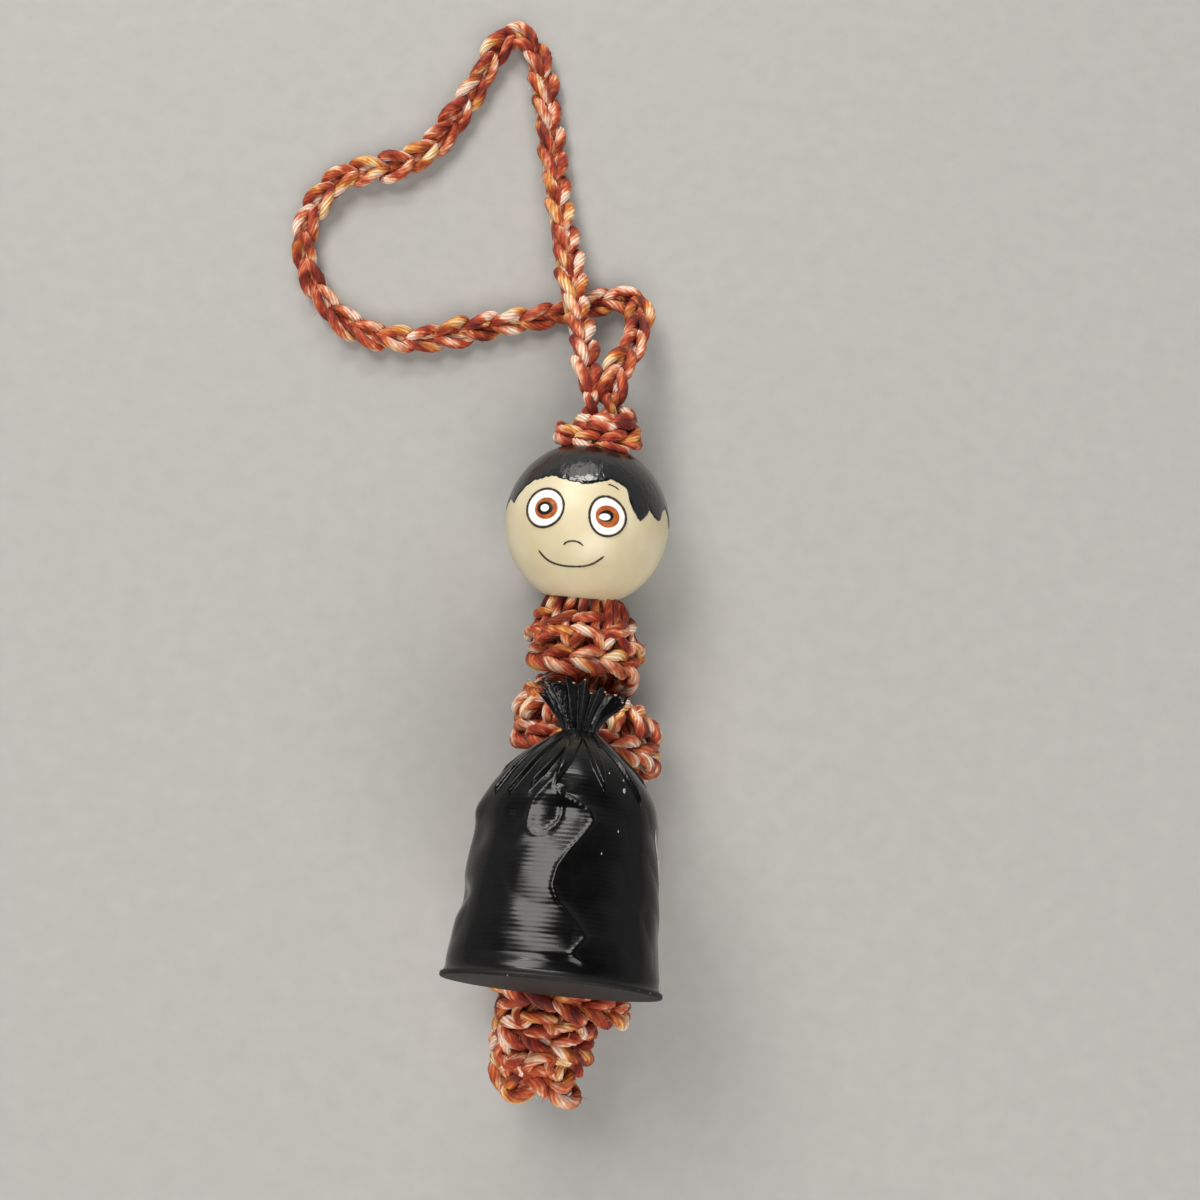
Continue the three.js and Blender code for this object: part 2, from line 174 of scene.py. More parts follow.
# Soft spun cotton: a faint lustre, a little pale at its edges from fine fibre ends, with painted shade in the
# grooves between the plies. The colour runs are about 5 mm long, and each ply carries its own.
cotton, tree, shade = finish_named(
    "variegated_cotton_yarn", Roughness=0.58, Sheen_Weight=0.1, Sheen_Roughness=0.5, Specular_IOR_Level=0.32
)
strand = node(tree, "ShaderNodeAttribute", attribute_name="strand").outputs["Vector"]
dye = along_yarn(tree, strand, DYE_WIDTH, DYE_RUN, 3.0, roughness=0.6)
red_dye = ramp(
    tree, dye,
    (0.34, "#641606"), (0.42, "#962C12"), (0.48, "#BC502A"),
    (0.525, "#DA8058"), (0.565, "#F0BB9A"), (0.615, "#FFEFE2"),
)
gold_dye = ramp(
    tree, dye,
    (0.335, "#6C2007"), (0.415, "#9C4016"), (0.475, "#C66A29"),
    (0.52, "#DE9644"), (0.565, "#F2C57A"), (0.625, "#FDECC6"),
)
golden = along_yarn(tree, strand, GOLD_WIDTH, GOLD_RUN, 0.0, location=(7, 3, 1))
golden_share = remap(tree, golden, 0.55, 0.64)
dyed = node(tree, "ShaderNodeMix", {0: golden_share, 6: red_dye, 7: gold_dye}, data_type="RGBA").outputs[2]
# Single fibres are about 0.02 mm across, too fine to show, so the pattern draws bundles of 0.15 mm.
fibre = along_yarn(tree, strand, BUNDLE_WIDTH, BUNDLE_LENGTH, 2.0)
fibre_shade = remap(tree, fibre, 0.3, 0.7, 0.66, 1.24)
coloured = node(tree, "ShaderNodeVectorMath", {0: dyed, "Scale": fibre_shade}, operation="SCALE")
# Painted shade: the colour is darkened, with a warm tint, in the grooves between the plies.
flat_place = node(tree, "ShaderNodeVectorMath", {0: strand, 1: (1, 1, 0)}, operation="MULTIPLY")
from_core = node(tree, "ShaderNodeVectorMath", {0: flat_place.outputs[0]}, operation="LENGTH")
groove_painted_shade = remap(
    tree, from_core.outputs["Value"], YARN_RADIUS * PLY_GROOVE * MM, YARN_RADIUS * GROOVE_RIM * MM, 1.0, 0.0
)
groove_shaded_colour = node(
    tree, "ShaderNodeMix", {0: groove_painted_shade, 6: coloured.outputs[0], 7: linear("#DDBAA6")},
    data_type="RGBA", blend_type="MULTIPLY",
)
tree.links.new(groove_shaded_colour.outputs[2], shade.inputs["Base Color"])
relief(tree, shade, fibre, 0.8, 0.16)

# The yarn's section: a ring of plies, with a groove between each two.
ply_section = linked("ply_section", bpy.data.curves.new("ply_section", "CURVE"))
ply_section.data.dimensions = "2D"
ply_ring = ply_section.data.splines.new("POLY")
ply_ring.points.add(2 * PLIES - 1)
ply_ring.use_cyclic_u = True
ply_angle = np.arange(2 * PLIES) * math.pi / PLIES
ply_reach = YARN_RADIUS * np.where(np.arange(2 * PLIES) % 2, PLY_GROOVE, 1.0)
ply_points = np.c_[np.cos(ply_angle) * ply_reach, np.sin(ply_angle) * ply_reach]
ply_ring.points.foreach_set("co", np.c_[ply_points * MM, np.zeros(2 * PLIES), np.ones(2 * PLIES)].ravel())


def evenly(line, step):
    """The same line with its points a fixed step apart."""
    reach = np.r_[0, np.cumsum(np.linalg.norm(np.diff(line[:, :3], axis=0), axis=1))]
    marks = np.linspace(0, reach[-1], max(4, round(reach[-1] / step) + 1))
    return np.stack([np.interp(marks, reach, column) for column in line.T], 1)


def through(keys):
    """A smooth line through key points."""
    keys = np.asarray(keys, float)
    ends = np.vstack([2 * keys[0] - keys[1], keys, 2 * keys[-1] - keys[-2]])
    u = np.linspace(0, 1, SPAN_POINTS, endpoint=False)[:, None]
    a, b, c, d = (ends[i:len(keys) - 1 + i, None] for i in range(4))
    spans = 0.5 * (2 * b + (c - a) * u + (2 * a - 5 * b + 4 * c - d) * u**2 + (3 * b - a - 3 * c + d) * u**3)
    return np.vstack([spans.reshape(-1, keys.shape[1]), keys[-1:]])


def piece_of(name, mesh, material, body=None):
    """A finished piece at the origin, with its material, slot and body."""
    piece = linked(name, mesh)
    mesh.materials.clear()
    mesh.materials.append(material)
    mesh.shade_smooth()
    if body:
        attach(piece, body)
    return piece


def swept(lines):
    """One mesh of several bevelled curves with closed ends, each given with its places in the yarn."""
    form = bmesh.new()
    for line, marks in lines:
        carrier = linked(line.name, line)
        bpy.context.view_layer.update()
        mesh = bpy.data.meshes.new_from_object(carrier.evaluated_get(bpy.context.evaluated_depsgraph_get()))
        bpy.data.objects.remove(carrier)
        if marks is not None:
            places = mesh.attributes.new("strand", "FLOAT_VECTOR", "POINT")
            places.data.foreach_set("vector", (marks * MM).ravel())
        form.from_mesh(mesh)
        bpy.data.meshes.remove(mesh)
    bmesh.ops.remove_doubles(form, verts=form.verts, dist=1e-7)
    bmesh.ops.recalc_face_normals(form, faces=form.faces)
    return mesh_of(form, lines[0][0].name)


def add_spline(line, points, full, tilt=0.0):
    """Adds a line of points, in mm, to a curve, closed at its ends."""
    count = len(points)
    full = np.array(full, float)
    full[[0, -1]] = 0
    spline = line.splines.new("POLY")
    spline.points.add(count - 1)
    spline.points.foreach_set("co", np.c_[points * MM, np.ones(count)].ravel())
    spline.points.foreach_set("tilt", np.full(count, 0.0) + tilt)
    spline.points.foreach_set("radius", full)


def round_line(name, diameter, roundness):
    """An empty curve with a round section, its diameter in mm."""
    line = bpy.data.curves.new(name, "CURVE")
    line.dimensions = "3D"
    line.bevel_depth = diameter / 2 * MM
    line.bevel_resolution = roundness
    return line


def crochet(name, strands, body=None, thickness=1.0):
    """Sweeps the plied section along each strand's line, in mm, and joins the strands in one piece. A line's
    fourth column is how full the strand is there, and what would sink into the table is pressed flat. Loose
    fibres stand out of the yarn at every few steps."""
    yarn = bpy.data.curves.new(name, "CURVE")
    yarn.dimensions = "3D"
    yarn.bevel_mode = "OBJECT"
    yarn.bevel_object = ply_section
    fuzz = round_line(name + "_fuzz", FIBRE_DIAMETER, 0)
    fuzz_corners = 4 * len(FIBRE_REACH)
    yarn_marks = []
    fuzz_marks = []
    for keys in strands:
        points = evenly(keys, YARN_STEP)
        count = len(points)
        full = thickness * (points[:, 3] if points.shape[1] > 3 else np.ones(count))
        points = points[:, :3]
        points[:, 2] = np.maximum(points[:, 2], YARN_RADIUS * full)
        reach = np.arange(count) * YARN_STEP
        add_spline(yarn, points, full, reach * 2 * math.pi / TWIST_PITCH)
        reach = reach + slack.uniform(0, BALL_LENGTH)
        mark = np.empty((count, 2 * PLIES, 3))
        mark[..., :2] = ply_points
        mark[..., 2] = reach[:, None]
        yarn_marks.append(mark.reshape(-1, 3))
        along = np.gradient(points, axis=0)
        for i in range(slack.integers(0, 3), count - 1, FIBRE_SPACING):
            out = np.cross(along[i], slack.normal(0, 1, 3))
            out /= np.linalg.norm(out)
            curl = slack.normal(0, 0.3, 3) + along[i] * slack.uniform(-1.2, 1.2)
            stand = YARN_RADIUS * full[i] * FIBRE_STAND * slack.uniform(1, 1.15)
            fibre_line = points[i] + np.outer(stand, out) + np.outer(FIBRE_REACH, curl)
            fibre_line[:, 2] = np.maximum(fibre_line[:, 2], FIBRE_FLOOR)
            add_spline(fuzz, fibre_line, np.ones(len(fibre_line)))
            fuzz_marks.append(np.tile((YARN_RADIUS, 0, reach[i]), (fuzz_corners, 1)))
    mesh = swept([(yarn, np.vstack(yarn_marks)), (fuzz, np.vstack(fuzz_marks))])
    return piece_of(name, mesh, cotton, body)


def twisted_pair(keys, offset, pitch):
    """Two strands that wind round a line along the worm."""
    line = evenly(through(keys), PAIR_STEP)
    turn = np.arange(len(line)) * PAIR_STEP / pitch * 2 * math.pi
    wind = np.c_[np.cos(turn), np.zeros(len(line)), np.sin(turn)] * offset
    return [line + wind, line - wind]


for stretch, body in (
    ("neck", "neck"), ("shoulder", "shoulder"), ("middle", "body"), ("hip", "hip"), ("tail", "tail"),
):
    solid = "foundation_chain_" + stretch
    low, high = (np.array(corner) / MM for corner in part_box(solid))
    middle = (low + high) / 2
    ends = [(middle[0], low[1], middle[2]), (middle[0], high[1], middle[2])]
    pair = twisted_pair(ends, offset=0.5, pitch=5.0)
    made = crochet("chain_stitches_" + stretch, pair, body, thickness=0.95)
    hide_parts(solid)


# Corkscrew strip
# Long stitches are worked in numbers into the chain, so the strip is far longer at its edge and curls round
# it. Each stitch shows its post on both faces and a V of two arms along the edge.
TURNS = 6.4
STRIP_PITCH = 12.0
STRIP_RADIUS = 10.9
STRIP_RISE = 7.6
STRIP_AT = (0.8, 9.6)
COLLAR_RADIUS = 7.9
COLLAR_AT = (-2.4, 11.11)
COLLAR_LIFT = 1.4
COLLAR_BELL = 0.72
COLLAR_END = 0.55
NECK_TOP = -12.3
NECK_RADIUS = 5.1
NECK_SHIFT = 0.8
ROOT_RADIUS = 3.3
EDGE_START = -19.0
FRONT_LEVEL = 1.6
TAIL_START = 4.4
TAIL_SETTLED = TAIL_START + 0.45
TAIL_THIN = TAIL_START + 0.55
TAIL_PITCH = 5.6
TAIL_RADIUS = 6.8
TAIL_RISE = 5.2
TAIL_X = -0.3
TAIL_WAVE = 0.8
TAIL_WAVE_TURN = 6.16
TAIL_WAVE_LENGTH = 0.18
TAIL_LOBE = 1.7
TAIL_LOBE_TURN = 6.13
TAIL_LOBE_WIDTH = 0.06
BELL = 1.6
FLATNESS = 0.8632
EDGE_HALF = 2.4
TAIL_EDGE_HALF = 1.7
ROOT_HALF = 1.5
EDGE_STITCH = 4.4
BRAID_HALF = 1.4
RIM_PLUMP = 1.22
RIM_POINTS = 2400
RIM_SHARE = 0.06
RIM_FACE = -0.6
WRAP_LEVELS = (0.36, 0.6)
COLLAR_LEVELS = (0.64, 0.9)
SPOT_SLACK = 0.12
STITCH_SLACK = 0.1
FRAME_SHIFT = (0.1, 34.004)


def ease(value, low, high):
    share = np.clip((value - low) / (high - low), 0, 1)
    return share * share * (3 - 2 * share)


def mix(a, b, share):
    return a + (b - a) * share


def strip(turn, share, face):
    """Points of the strip. share runs from 0 at its edge to 1 at its root, and face is mm over its middle."""
    turn = np.asarray(turn, float)
    tail = ease(turn, TAIL_START, TAIL_SETTLED)
    wide = np.minimum(turn, TAIL_START)
    settled = ease(turn, 0.3, 1.1)
    edge_y = EDGE_START - STRIP_PITCH * wide - TAIL_PITCH * (turn - wide)
    edge_y = edge_y + COLLAR_LIFT * mix(0.3, 1, ease(turn, 0, 0.5)) * (1 - ease(turn, 0.5, 1.1))
    edge_y = edge_y - FRONT_LEVEL * (1 - ease(turn, 3.2, 3.8)) * np.cos(2 * math.pi * turn)
    wave = np.cos(2 * math.pi * (turn - TAIL_WAVE_TURN) / TAIL_WAVE_LENGTH)
    edge_y = edge_y - TAIL_WAVE * ease(turn, 5.9, 6.1) * wave
    edge_y = edge_y - TAIL_LOBE * np.exp(-((turn - TAIL_LOBE_TURN) / TAIL_LOBE_WIDTH) ** 2)
    edge_r = mix(mix(COLLAR_RADIUS, STRIP_RADIUS, ease(turn, 0.55, 1.15)), TAIL_RADIUS, tail)
    root_y = mix(NECK_TOP, edge_y + mix(STRIP_RISE, TAIL_RISE, tail), settled)
    root_r = mix(NECK_RADIUS, ROOT_RADIUS, settled)
    lean = ease(NECK_TOP - (root_y + edge_y) / 2, 0, 9)
    out, rise = edge_r - root_r, root_y - edge_y
    above = 1 - share
    bell = mix(COLLAR_BELL, BELL, settled)
    in_slope = out * bell * np.maximum(np.abs(share), 0.03) ** (bell - 1)
    up_slope = rise * bell * np.maximum(np.abs(above), 0.03) ** (bell - 1)
    steep = np.hypot(in_slope, up_slope)
    r = edge_r - out * np.abs(share) ** bell + up_slope / steep * face
    y = edge_y + rise * (1 - np.sign(above) * np.abs(above) ** bell) + in_slope / steep * face
    angle = 2 * math.pi * turn - math.pi / 2
    x = mix(COLLAR_AT[0] - NECK_SHIFT * share, mix(STRIP_AT[0], TAIL_X, tail), lean) + r * np.sin(angle)
    z = mix(COLLAR_AT[1], STRIP_AT[1], lean) + r * np.cos(angle) * FLATNESS
    return np.stack([x + FRAME_SHIFT[0], y + FRAME_SHIFT[1], z], -1)


# One chain stitch: how far on, in stitches, how far to the side, in half widths, how high, in yarn radii, and
# how full. The loop comes up through the last one, spreads into two arms, turns under the next and goes back.
CHAIN_ARM = np.array([
    (0.02, 0.1, -0.35, 0.62), (0.14, 0.24, 0.45, 0.82), (0.34, 0.52, 0.95, 1.0), (0.6, 0.84, 0.9, 1.06),
    (0.84, 1.02, 0.5, 1.02), (1.04, 1.06, -0.1, 0.9), (1.18, 0.9, -0.85, 0.76), (1.24, 0.45, -1.55, 0.68),
])
CHAIN_LOOP = np.vstack([
    (-0.1, 0.04, -1.3, 0.6), CHAIN_ARM, (1.26, 0, -1.7, 0.66), CHAIN_ARM[::-1] * (1, -1, 1, 1),
    (-0.1, -0.04, -1.3, 0.6), (0.4, 0, -1.75, 0.62),
])


def chain(points, outward, stitches, half, plump=1.0, first=0, last=None):
    """One strand worked in chain stitches along a path, with its Vs on the outward side. stitches is how many
    there are, or where each begins and ends, in shares of the path's points."""
    reach = np.r_[0, np.cumsum(np.linalg.norm(np.diff(points, axis=0), axis=1))]
    if np.ndim(stitches):
        places = np.interp(stitches, np.linspace(0, 1, len(points)), reach)
    else:
        places = np.linspace(0, reach[-1], stitches + 1)
    pitch = np.diff(places)
    along = np.gradient(points, axis=0)
    along /= np.linalg.norm(along, axis=1)[:, None]
    outward = outward - along * (outward * along).sum(1)[:, None]
    outward /= np.linalg.norm(outward, axis=1)[:, None]
    side = np.cross(along, outward)
    worked = np.arange(first, len(pitch) if last is None else last)
    loops = len(worked)
    spots = (places[worked][:, None] + CHAIN_LOOP[:, 0] * pitch[worked][:, None]).ravel()
    spots = spots + slack.normal(0, SPOT_SLACK, len(spots))
    wider = slack.normal(1, STITCH_SLACK, (loops, 1))
    shifted = slack.normal(0, STITCH_SLACK, (loops, 1))
    width = (half * (wider * CHAIN_LOOP[:, 1] + shifted)).ravel()
    rise = (YARN_RADIUS * CHAIN_LOOP[:, 2] + slack.normal(0, STITCH_SLACK, (loops, 1))).ravel()
    held = np.clip(spots, 0, reach[-1])
    keys = np.zeros((len(spots), 4))
    keys[:, 3] = plump * np.tile(CHAIN_LOOP[:, 3], loops)
    for values, amount in ((points, 1), (along, spots - held), (side, width), (outward, rise)):
        placed = np.stack([np.interp(held, reach, values[:, i]) for i in range(3)], 1)
        keys[:, :3] += placed * np.reshape(amount, (-1, 1))
    return through(keys)


def lift(turn, share):
    """How far a strand's middle lies from the strip's middle surface."""
    edge = mix(EDGE_HALF, TAIL_EDGE_HALF, ease(turn, TAIL_START, TAIL_THIN))
    return mix(edge, ROOT_HALF, share) - YARN_RADIUS


# The row of Vs along the strip's edge faces outward.
rim_turns = np.linspace(0, TURNS, RIM_POINTS)
rim = strip(rim_turns, RIM_SHARE, RIM_FACE)
rim_angle = 2 * math.pi * rim_turns - math.pi / 2
rim_out = np.c_[np.sin(rim_angle), np.full(RIM_POINTS, 0.1), np.cos(rim_angle) / FLATNESS]
rim_reach = np.r_[0, np.cumsum(np.linalg.norm(np.diff(rim, axis=0), axis=1))]
rim_stitches = round(rim_reach[-1] / EDGE_STITCH)
stitch_ends = np.interp(np.arange(rim_stitches + 1) * rim_reach[-1] / rim_stitches, rim_reach, rim_turns)
stitch_turn = (stitch_ends[1:] + stitch_ends[:-1]) / 2
stitch_step = np.diff(stitch_ends)


def post(turn, step, side):
    """One of a stitch's two post strands: up the outer face from the edge, round the chain, down inside."""
    share = np.array([0.22, 0.29, 0.42, 0.6, 0.8, 1.0, 1.06, 1.0, 0.78, 0.52, 0.3, 0.16])
    face = np.array([0.5, 1.15, 1.2, 1.1, 1, 1, 0, -1, -1, -1, -1, -0.2])
    spread = np.array([0.44, 0.4, 0.3, 0.22, 0.2, 0.22, 0.22, 0.22, 0.2, 0.24, 0.2, 0.2])
    full = np.array([0.8, 1, 1.08, 1.05, 1, 0.95, 0.9, 0.95, 1, 1, 1, 0.8])
    places = turn + step * (side * spread + slack.normal(0, 0.05, len(share)))
    return through(np.c_[strip(places, share, face * lift(turn, share)), full])


def wrap(turn, step, low, high):
    """A yarn over that crosses a stitch's post on the outer face, somewhere between two levels."""
    level, slope = slack.uniform(low, high), slack.normal(0.07, 0.05)
    share = level + slope * np.array([-1.2, -0.9, -0.4, 0.3, 0.9, 1.2])
    raised = np.array([-0.5, 0.6, 1.0, 1.0, 0.6, -0.5]) * YARN_RADIUS
    places = turn + step * np.array([-0.6, -0.42, -0.15, 0.18, 0.44, 0.6])
    full = np.array([0.6, 0.95, 1.12, 1.12, 0.95, 0.6])
    return through(np.c_[strip(places, share, lift(turn, share) + raised), full])


def inner_loop(turn, step):
    """The loop over a stitch's shoulder: from the edge up the inner face, round and back beside itself."""
    tall = slack.uniform(0.5, 0.66)
    share = 0.12 + np.array([0.08, 0.3, 0.55, 0.68, 0.6, 0.34, 0.08]) * tall / 0.7
    spread = np.array([0.34, 0.26, 0.34, 0.52, 0.7, 0.8, 0.72]) + slack.normal(0, 0.03, len(share))
    depth = -lift(turn, share) - np.array([-0.5, 0.3, 0.42, 0.3, 0.42, 0.3, -0.5])
    return through(strip(turn + step * spread, share, depth))


def ruffle(name, start, end):
    """The stitches of the strip between two turns."""
    kept = np.flatnonzero((stitch_turn >= start) & (stitch_turn < end))
    strands = [chain(rim, rim_out, stitch_ends / TURNS, BRAID_HALF, RIM_PLUMP, kept[0], kept[-1] + 1)]
    under = (rim_turns >= stitch_ends[kept[0]]) & (rim_turns <= stitch_ends[kept[-1] + 1])
    strands.append(rim[under] - 0.5 * rim_out[under])
    for i in kept:
        turn, step = stitch_turn[i], stitch_step[i]
        strands += [post(turn, step, -1), post(turn, step, 1)]
        strands += [wrap(turn, step, *WRAP_LEVELS), inner_loop(turn, step)]
        if turn < COLLAR_END:
            strands.append(wrap(turn, step, *COLLAR_LEVELS))
    return crochet(name, strands)


collar = ruffle("ruffle_stitches_collar", 0, 0.5)
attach(collar, "neck")
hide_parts("ruffle_collar")
nape = ruffle("ruffle_stitches_nape", 0.5, 0.875)
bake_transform(nape)
shoulder = ruffle("ruffle_stitches_shoulder", 0.875, 1.125)
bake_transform(shoulder)
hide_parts("ruffle_shoulder")
for turn_name, start, end in (("2", 1.125, 2), ("3", 2, 3), ("4", 3, 3.875)):
    made = ruffle("ruffle_stitches_turn_" + turn_name, start, end)
    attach(made, "body")
    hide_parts("ruffle_turn_" + turn_name)
hip = ruffle("ruffle_stitches_hip", 3.875, 4.125)
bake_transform(hip)
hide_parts("ruffle_hip")
rump = ruffle("ruffle_stitches_rump", 4.125, 4.5)
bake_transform(rump)
tail = ruffle("ruffle_stitches_tail", 4.5, TURNS + 0.1)
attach(tail, "tail")
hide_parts("ruffle_tail")


# Bead head
# A turned wooden bead with a bore through it, painted cream. It is threaded on the two cord legs, which run
# side by side through the bore.
BEAD_RADIUS = 12.5
BEAD_FLAT = 11.4
ROUNDED = math.radians(36)
BORE_RADIUS = 4.2
BORE_EDGE = 0.35
BEAD_SIDES = 120
HEAD_AT = (-2.3, 34.004, 12.5)
HEAD_TILT = 6
HEAD = Matrix.Translation(HEAD_AT) @ Matrix.Rotation(math.radians(HEAD_TILT), 4, "X")


def in_head(points):
    """Points of the head's own frame, in mm, in the part's frame."""
    return np.array([HEAD @ Vector(p) for p in points])


def bezier(poles, shares):
    """Points at shares of the way along the curve that a few poles draw."""
    last = len(poles) - 1
    weights = [math.comb(last, i) * shares**i * (1 - shares) ** (last - i) for i in range(last + 1)]
    return np.transpose(weights) @ np.array(poles, float)


# Satin acrylic paint on wood: warm cream, brushed on, so it is slightly uneven in colour and in height.
cream_paint, tree, shade = finish_named("cream_satin_paint", Roughness=0.38, Specular_IOR_Level=0.85)
spot = mottled(tree, shade, 7, 3.0, (0.3, "#CDBD97"), (0.5, "#D4C6A2"), (0.7, "#DACFAF"))
relief(tree, shade, patches(tree, spot, 1.1, 3.0), 0.25, 0.03)

form = bmesh.new()
arc = np.linspace(ROUNDED, math.pi - ROUNDED, 50)
arc_end = np.array([math.sin(ROUNDED), math.cos(ROUNDED)]) * BEAD_RADIUS
corner = np.array([arc_end[0] - (BEAD_FLAT - arc_end[1]) / math.tan(ROUNDED), BEAD_FLAT])
rim_start = (BORE_RADIUS + BORE_EDGE, BEAD_FLAT)
outline = [(BORE_RADIUS, BEAD_FLAT - BORE_EDGE), (BORE_RADIUS + 0.1, BEAD_FLAT - 0.1)]
outline += [tuple(p) for p in bezier([rim_start, corner, arc_end], np.linspace(0, 0.9, 8))]
rim_points = len(outline)
outline += [(BEAD_RADIUS * math.sin(a), BEAD_RADIUS * math.cos(a)) for a in arc]
outline += [(r, -y) for r, y in reversed(outline[:rim_points])]
verts = [form.verts.new((r, y, 0)) for r, y in outline]
edges = [form.edges.new((verts[i - 1], verts[i])) for i in range(len(verts))]
bmesh.ops.spin(
    form, geom=verts + edges, cent=(0, 0, 0), axis=(0, 1, 0), dvec=(0, 0, 0), angle=2 * math.pi,
    steps=BEAD_SIDES, use_merge=True,
)
bmesh.ops.remove_doubles(form, verts=form.verts, dist=1e-4)
bmesh.ops.recalc_face_normals(form, faces=form.faces)
bmesh.ops.transform(form, matrix=Matrix.Scale(MM, 4) @ HEAD, verts=form.verts)
bead = piece_of("painted_bead", mesh_of(form, "painted_bead"), cream_paint, "head")
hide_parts("bead_head")

LEG_SPACING = 4.7
LEG_LOW = -13.0
LEG_HIGH = 20.8
for side, sign in (("left", -1), ("right", 1)):
    aside = sign * LEG_SPACING / 2
    route = in_head([
        (aside, LEG_LOW, 0), (aside, 0, 0), (aside, 12, 0), (0.62 * aside, 17, 0.4),
        (0.66 * aside, LEG_HIGH, 0),
    ])
    leg = crochet("leg_stitches_" + side, twisted_pair(route, offset=0.62, pitch=5.5), "neck")
    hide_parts("cord_leg_" + side)


# Painted hair and face
# Gloss black paint caps the bead from the bore to a ragged fringe, longer at the sides. The eyes are dots of
# white, brown and black inside pen outlines, and the nose, mouth and brow are pen lines.
HAIR_TOP = 24.4
HAIR_TIPS = 220
HAIR_FILM = 0.12
HAIR_RISE = 0.11
STREAK_WIDTH = 0.9
STREAK_ROWS = 9
PAINT_LIFT = 0.02
PEN_STEP = 0.16
FRINGE = np.array([
    (-180, 91), (-165, 94), (-150, 90), (-135, 93), (-118, 88), (-104, 90), (-94, 85), (-86, 86),
    (-78, 81), (-71, 79.6), (-63, 83.4), (-58.1, 76.1), (-54.1, 71.9), (-45.9, 66.3), (-39.5, 65.3),
    (-34.1, 63.3), (-26.9, 62.7), (-21.9, 64.6), (-16.1, 66.0), (-9.8, 66.5), (-3.6, 67.6), (3.4, 66.2),
    (10.7, 63.5), (15.9, 61.4), (22.4, 64), (27.7, 66.5), (29.1, 74.6), (32.5, 82.2), (38.5, 88),
    (45.2, 82.5), (47, 78.8), (53.5, 83.8), (57, 85), (60.4, 83.7), (66, 76), (71, 74), (78, 79),
    (84, 87), (93, 84), (104, 90), (118, 87), (132, 93), (148, 89), (164, 93), (180, 91),
])


def on_bead(azimuth, polar, height=0.0):
    """A point over the bead: azimuth in degrees from the front to the right, polar from the bore's top."""
    a, p = math.radians(azimuth), math.radians(polar)
    way = Vector((math.sin(p) * math.sin(a), math.cos(p), math.sin(p) * math.cos(a)))
    return way * (BEAD_RADIUS + height)


def wrapped(name, columns, rows, place):
    """A sheet of quads, bent round by place(u, v) and welded where its sides and ends meet."""
    form = bmesh.new()
    bmesh.ops.create_grid(form, x_segments=columns, y_segments=rows, size=0.5)
    for vert in form.verts:
        vert.co = place(vert.co.x + 0.5, vert.co.y + 0.5)
    bmesh.ops.remove_doubles(form, verts=form.verts, dist=1e-4)
    bmesh.ops.recalc_face_normals(form, faces=form.faces)
    return mesh_of(form, name)


def placed(mesh, matrix):
    """The same mesh, in mm in a piece's own frame, in the part's frame in metres."""
    mesh.transform(Matrix.Scale(MM, 4) @ matrix)
    return mesh


# Black enamel: a wet gloss with faint streaks of the brush from the crown down to the fringe.
enamel, tree, shade = finish_named("black_gloss_enamel", Roughness=0.14, Specular_IOR_Level=0.75)
around = node(tree, "ShaderNodeUVMap", uv_map="streaks")
streaks = node(
    tree, "ShaderNodeMapping",
    {"Vector": around.outputs[0], "Scale": (2 * math.pi * BEAD_RADIUS / STREAK_WIDTH, STREAK_ROWS, 1)},
)
brushed = node(tree, "ShaderNodeTexNoise", {"Vector": streaks.outputs[0], "Scale": 1.0, "Detail": 3.0})
black = ramp(tree, brushed.outputs["Fac"], (0.3, "#060607"), (0.75, "#101012"))
tree.links.new(black, shade.inputs["Base Color"])
relief(tree, shade, brushed.outputs["Fac"], 1.0, 0.12)
brush_tips = slack.normal(0, 0.42, HAIR_TIPS + 1)
brush_tips[-1] = brush_tips[0]


def hair_at(u, v):
    azimuth = 360 * u - 180
    fringe = np.interp(azimuth, FRINGE[:, 0], FRINGE[:, 1])
    fringe += np.interp(HAIR_TIPS * u, np.arange(HAIR_TIPS + 1), brush_tips)
    polar = mix(fringe, HAIR_TOP, v**1.5)
    return on_bead(azimuth, polar, PAINT_LIFT + HAIR_RISE * min(1, v * 9) ** 0.5)


mesh = wrapped("painted_hair", 2 * HAIR_TIPS, 18, hair_at)
layer = mesh.uv_layers.new(name="streaks")
for face in mesh.polygons:
    angles = []
    for vert in face.vertices:
        co = mesh.vertices[vert].co
        angles.append(math.atan2(co.x, co.z) / (2 * math.pi))
    top = max(angles)
    for loop, vert, angle in zip(face.loop_indices, face.vertices, angles):
        across = angle + 1 if top - angle > 0.5 else angle
        down = math.acos(max(-1, min(1, mesh.vertices[vert].co.normalized().y)))
        layer.data[loop].uv = (across, down)
form = bmesh.new()
form.from_mesh(mesh)
bmesh.ops.solidify(form, geom=form.faces[:], thickness=HAIR_FILM)
form.to_mesh(mesh)
form.free()
piece_of("painted_hair", placed(mesh, HEAD), enamel, "head")


def paint(name, deep, pale, grain, roughness):
    """Matt craft paint or pen ink: a thin, slightly uneven film."""
    made, tree, shade = finish_named(name, Roughness=roughness, Specular_IOR_Level=0.35)
    mottled(tree, shade, grain, 3.0, (0.35, deep), (0.65, pale))
    return made


white_paint = paint("white_craft_paint", "#EFEDE8", "#FAF8F4", 1.5, 0.45)
brown_paint = paint("brown_craft_paint", "#93461C", "#B9672F", 0.7, 0.5)
black_paint = paint("black_craft_paint", "#0C0B0B", "#1A1716", 0.8, 0.4)
pen_ink = paint("dark_brown_pen_ink", "#2A201B", "#3A2C25", 0.8, 0.5)


def dab_point(azimuth, polar, across, upward, height):
    """A point beside a place on the bead, across and upward in mm along its surface."""
    centre = on_bead(azimuth, polar).normalized()
    right = Vector((0, 1, 0)).cross(centre).normalized()
    up = centre.cross(right)
    return (centre * BEAD_RADIUS + right * across + up * upward).normalized() * (BEAD_RADIUS + height)


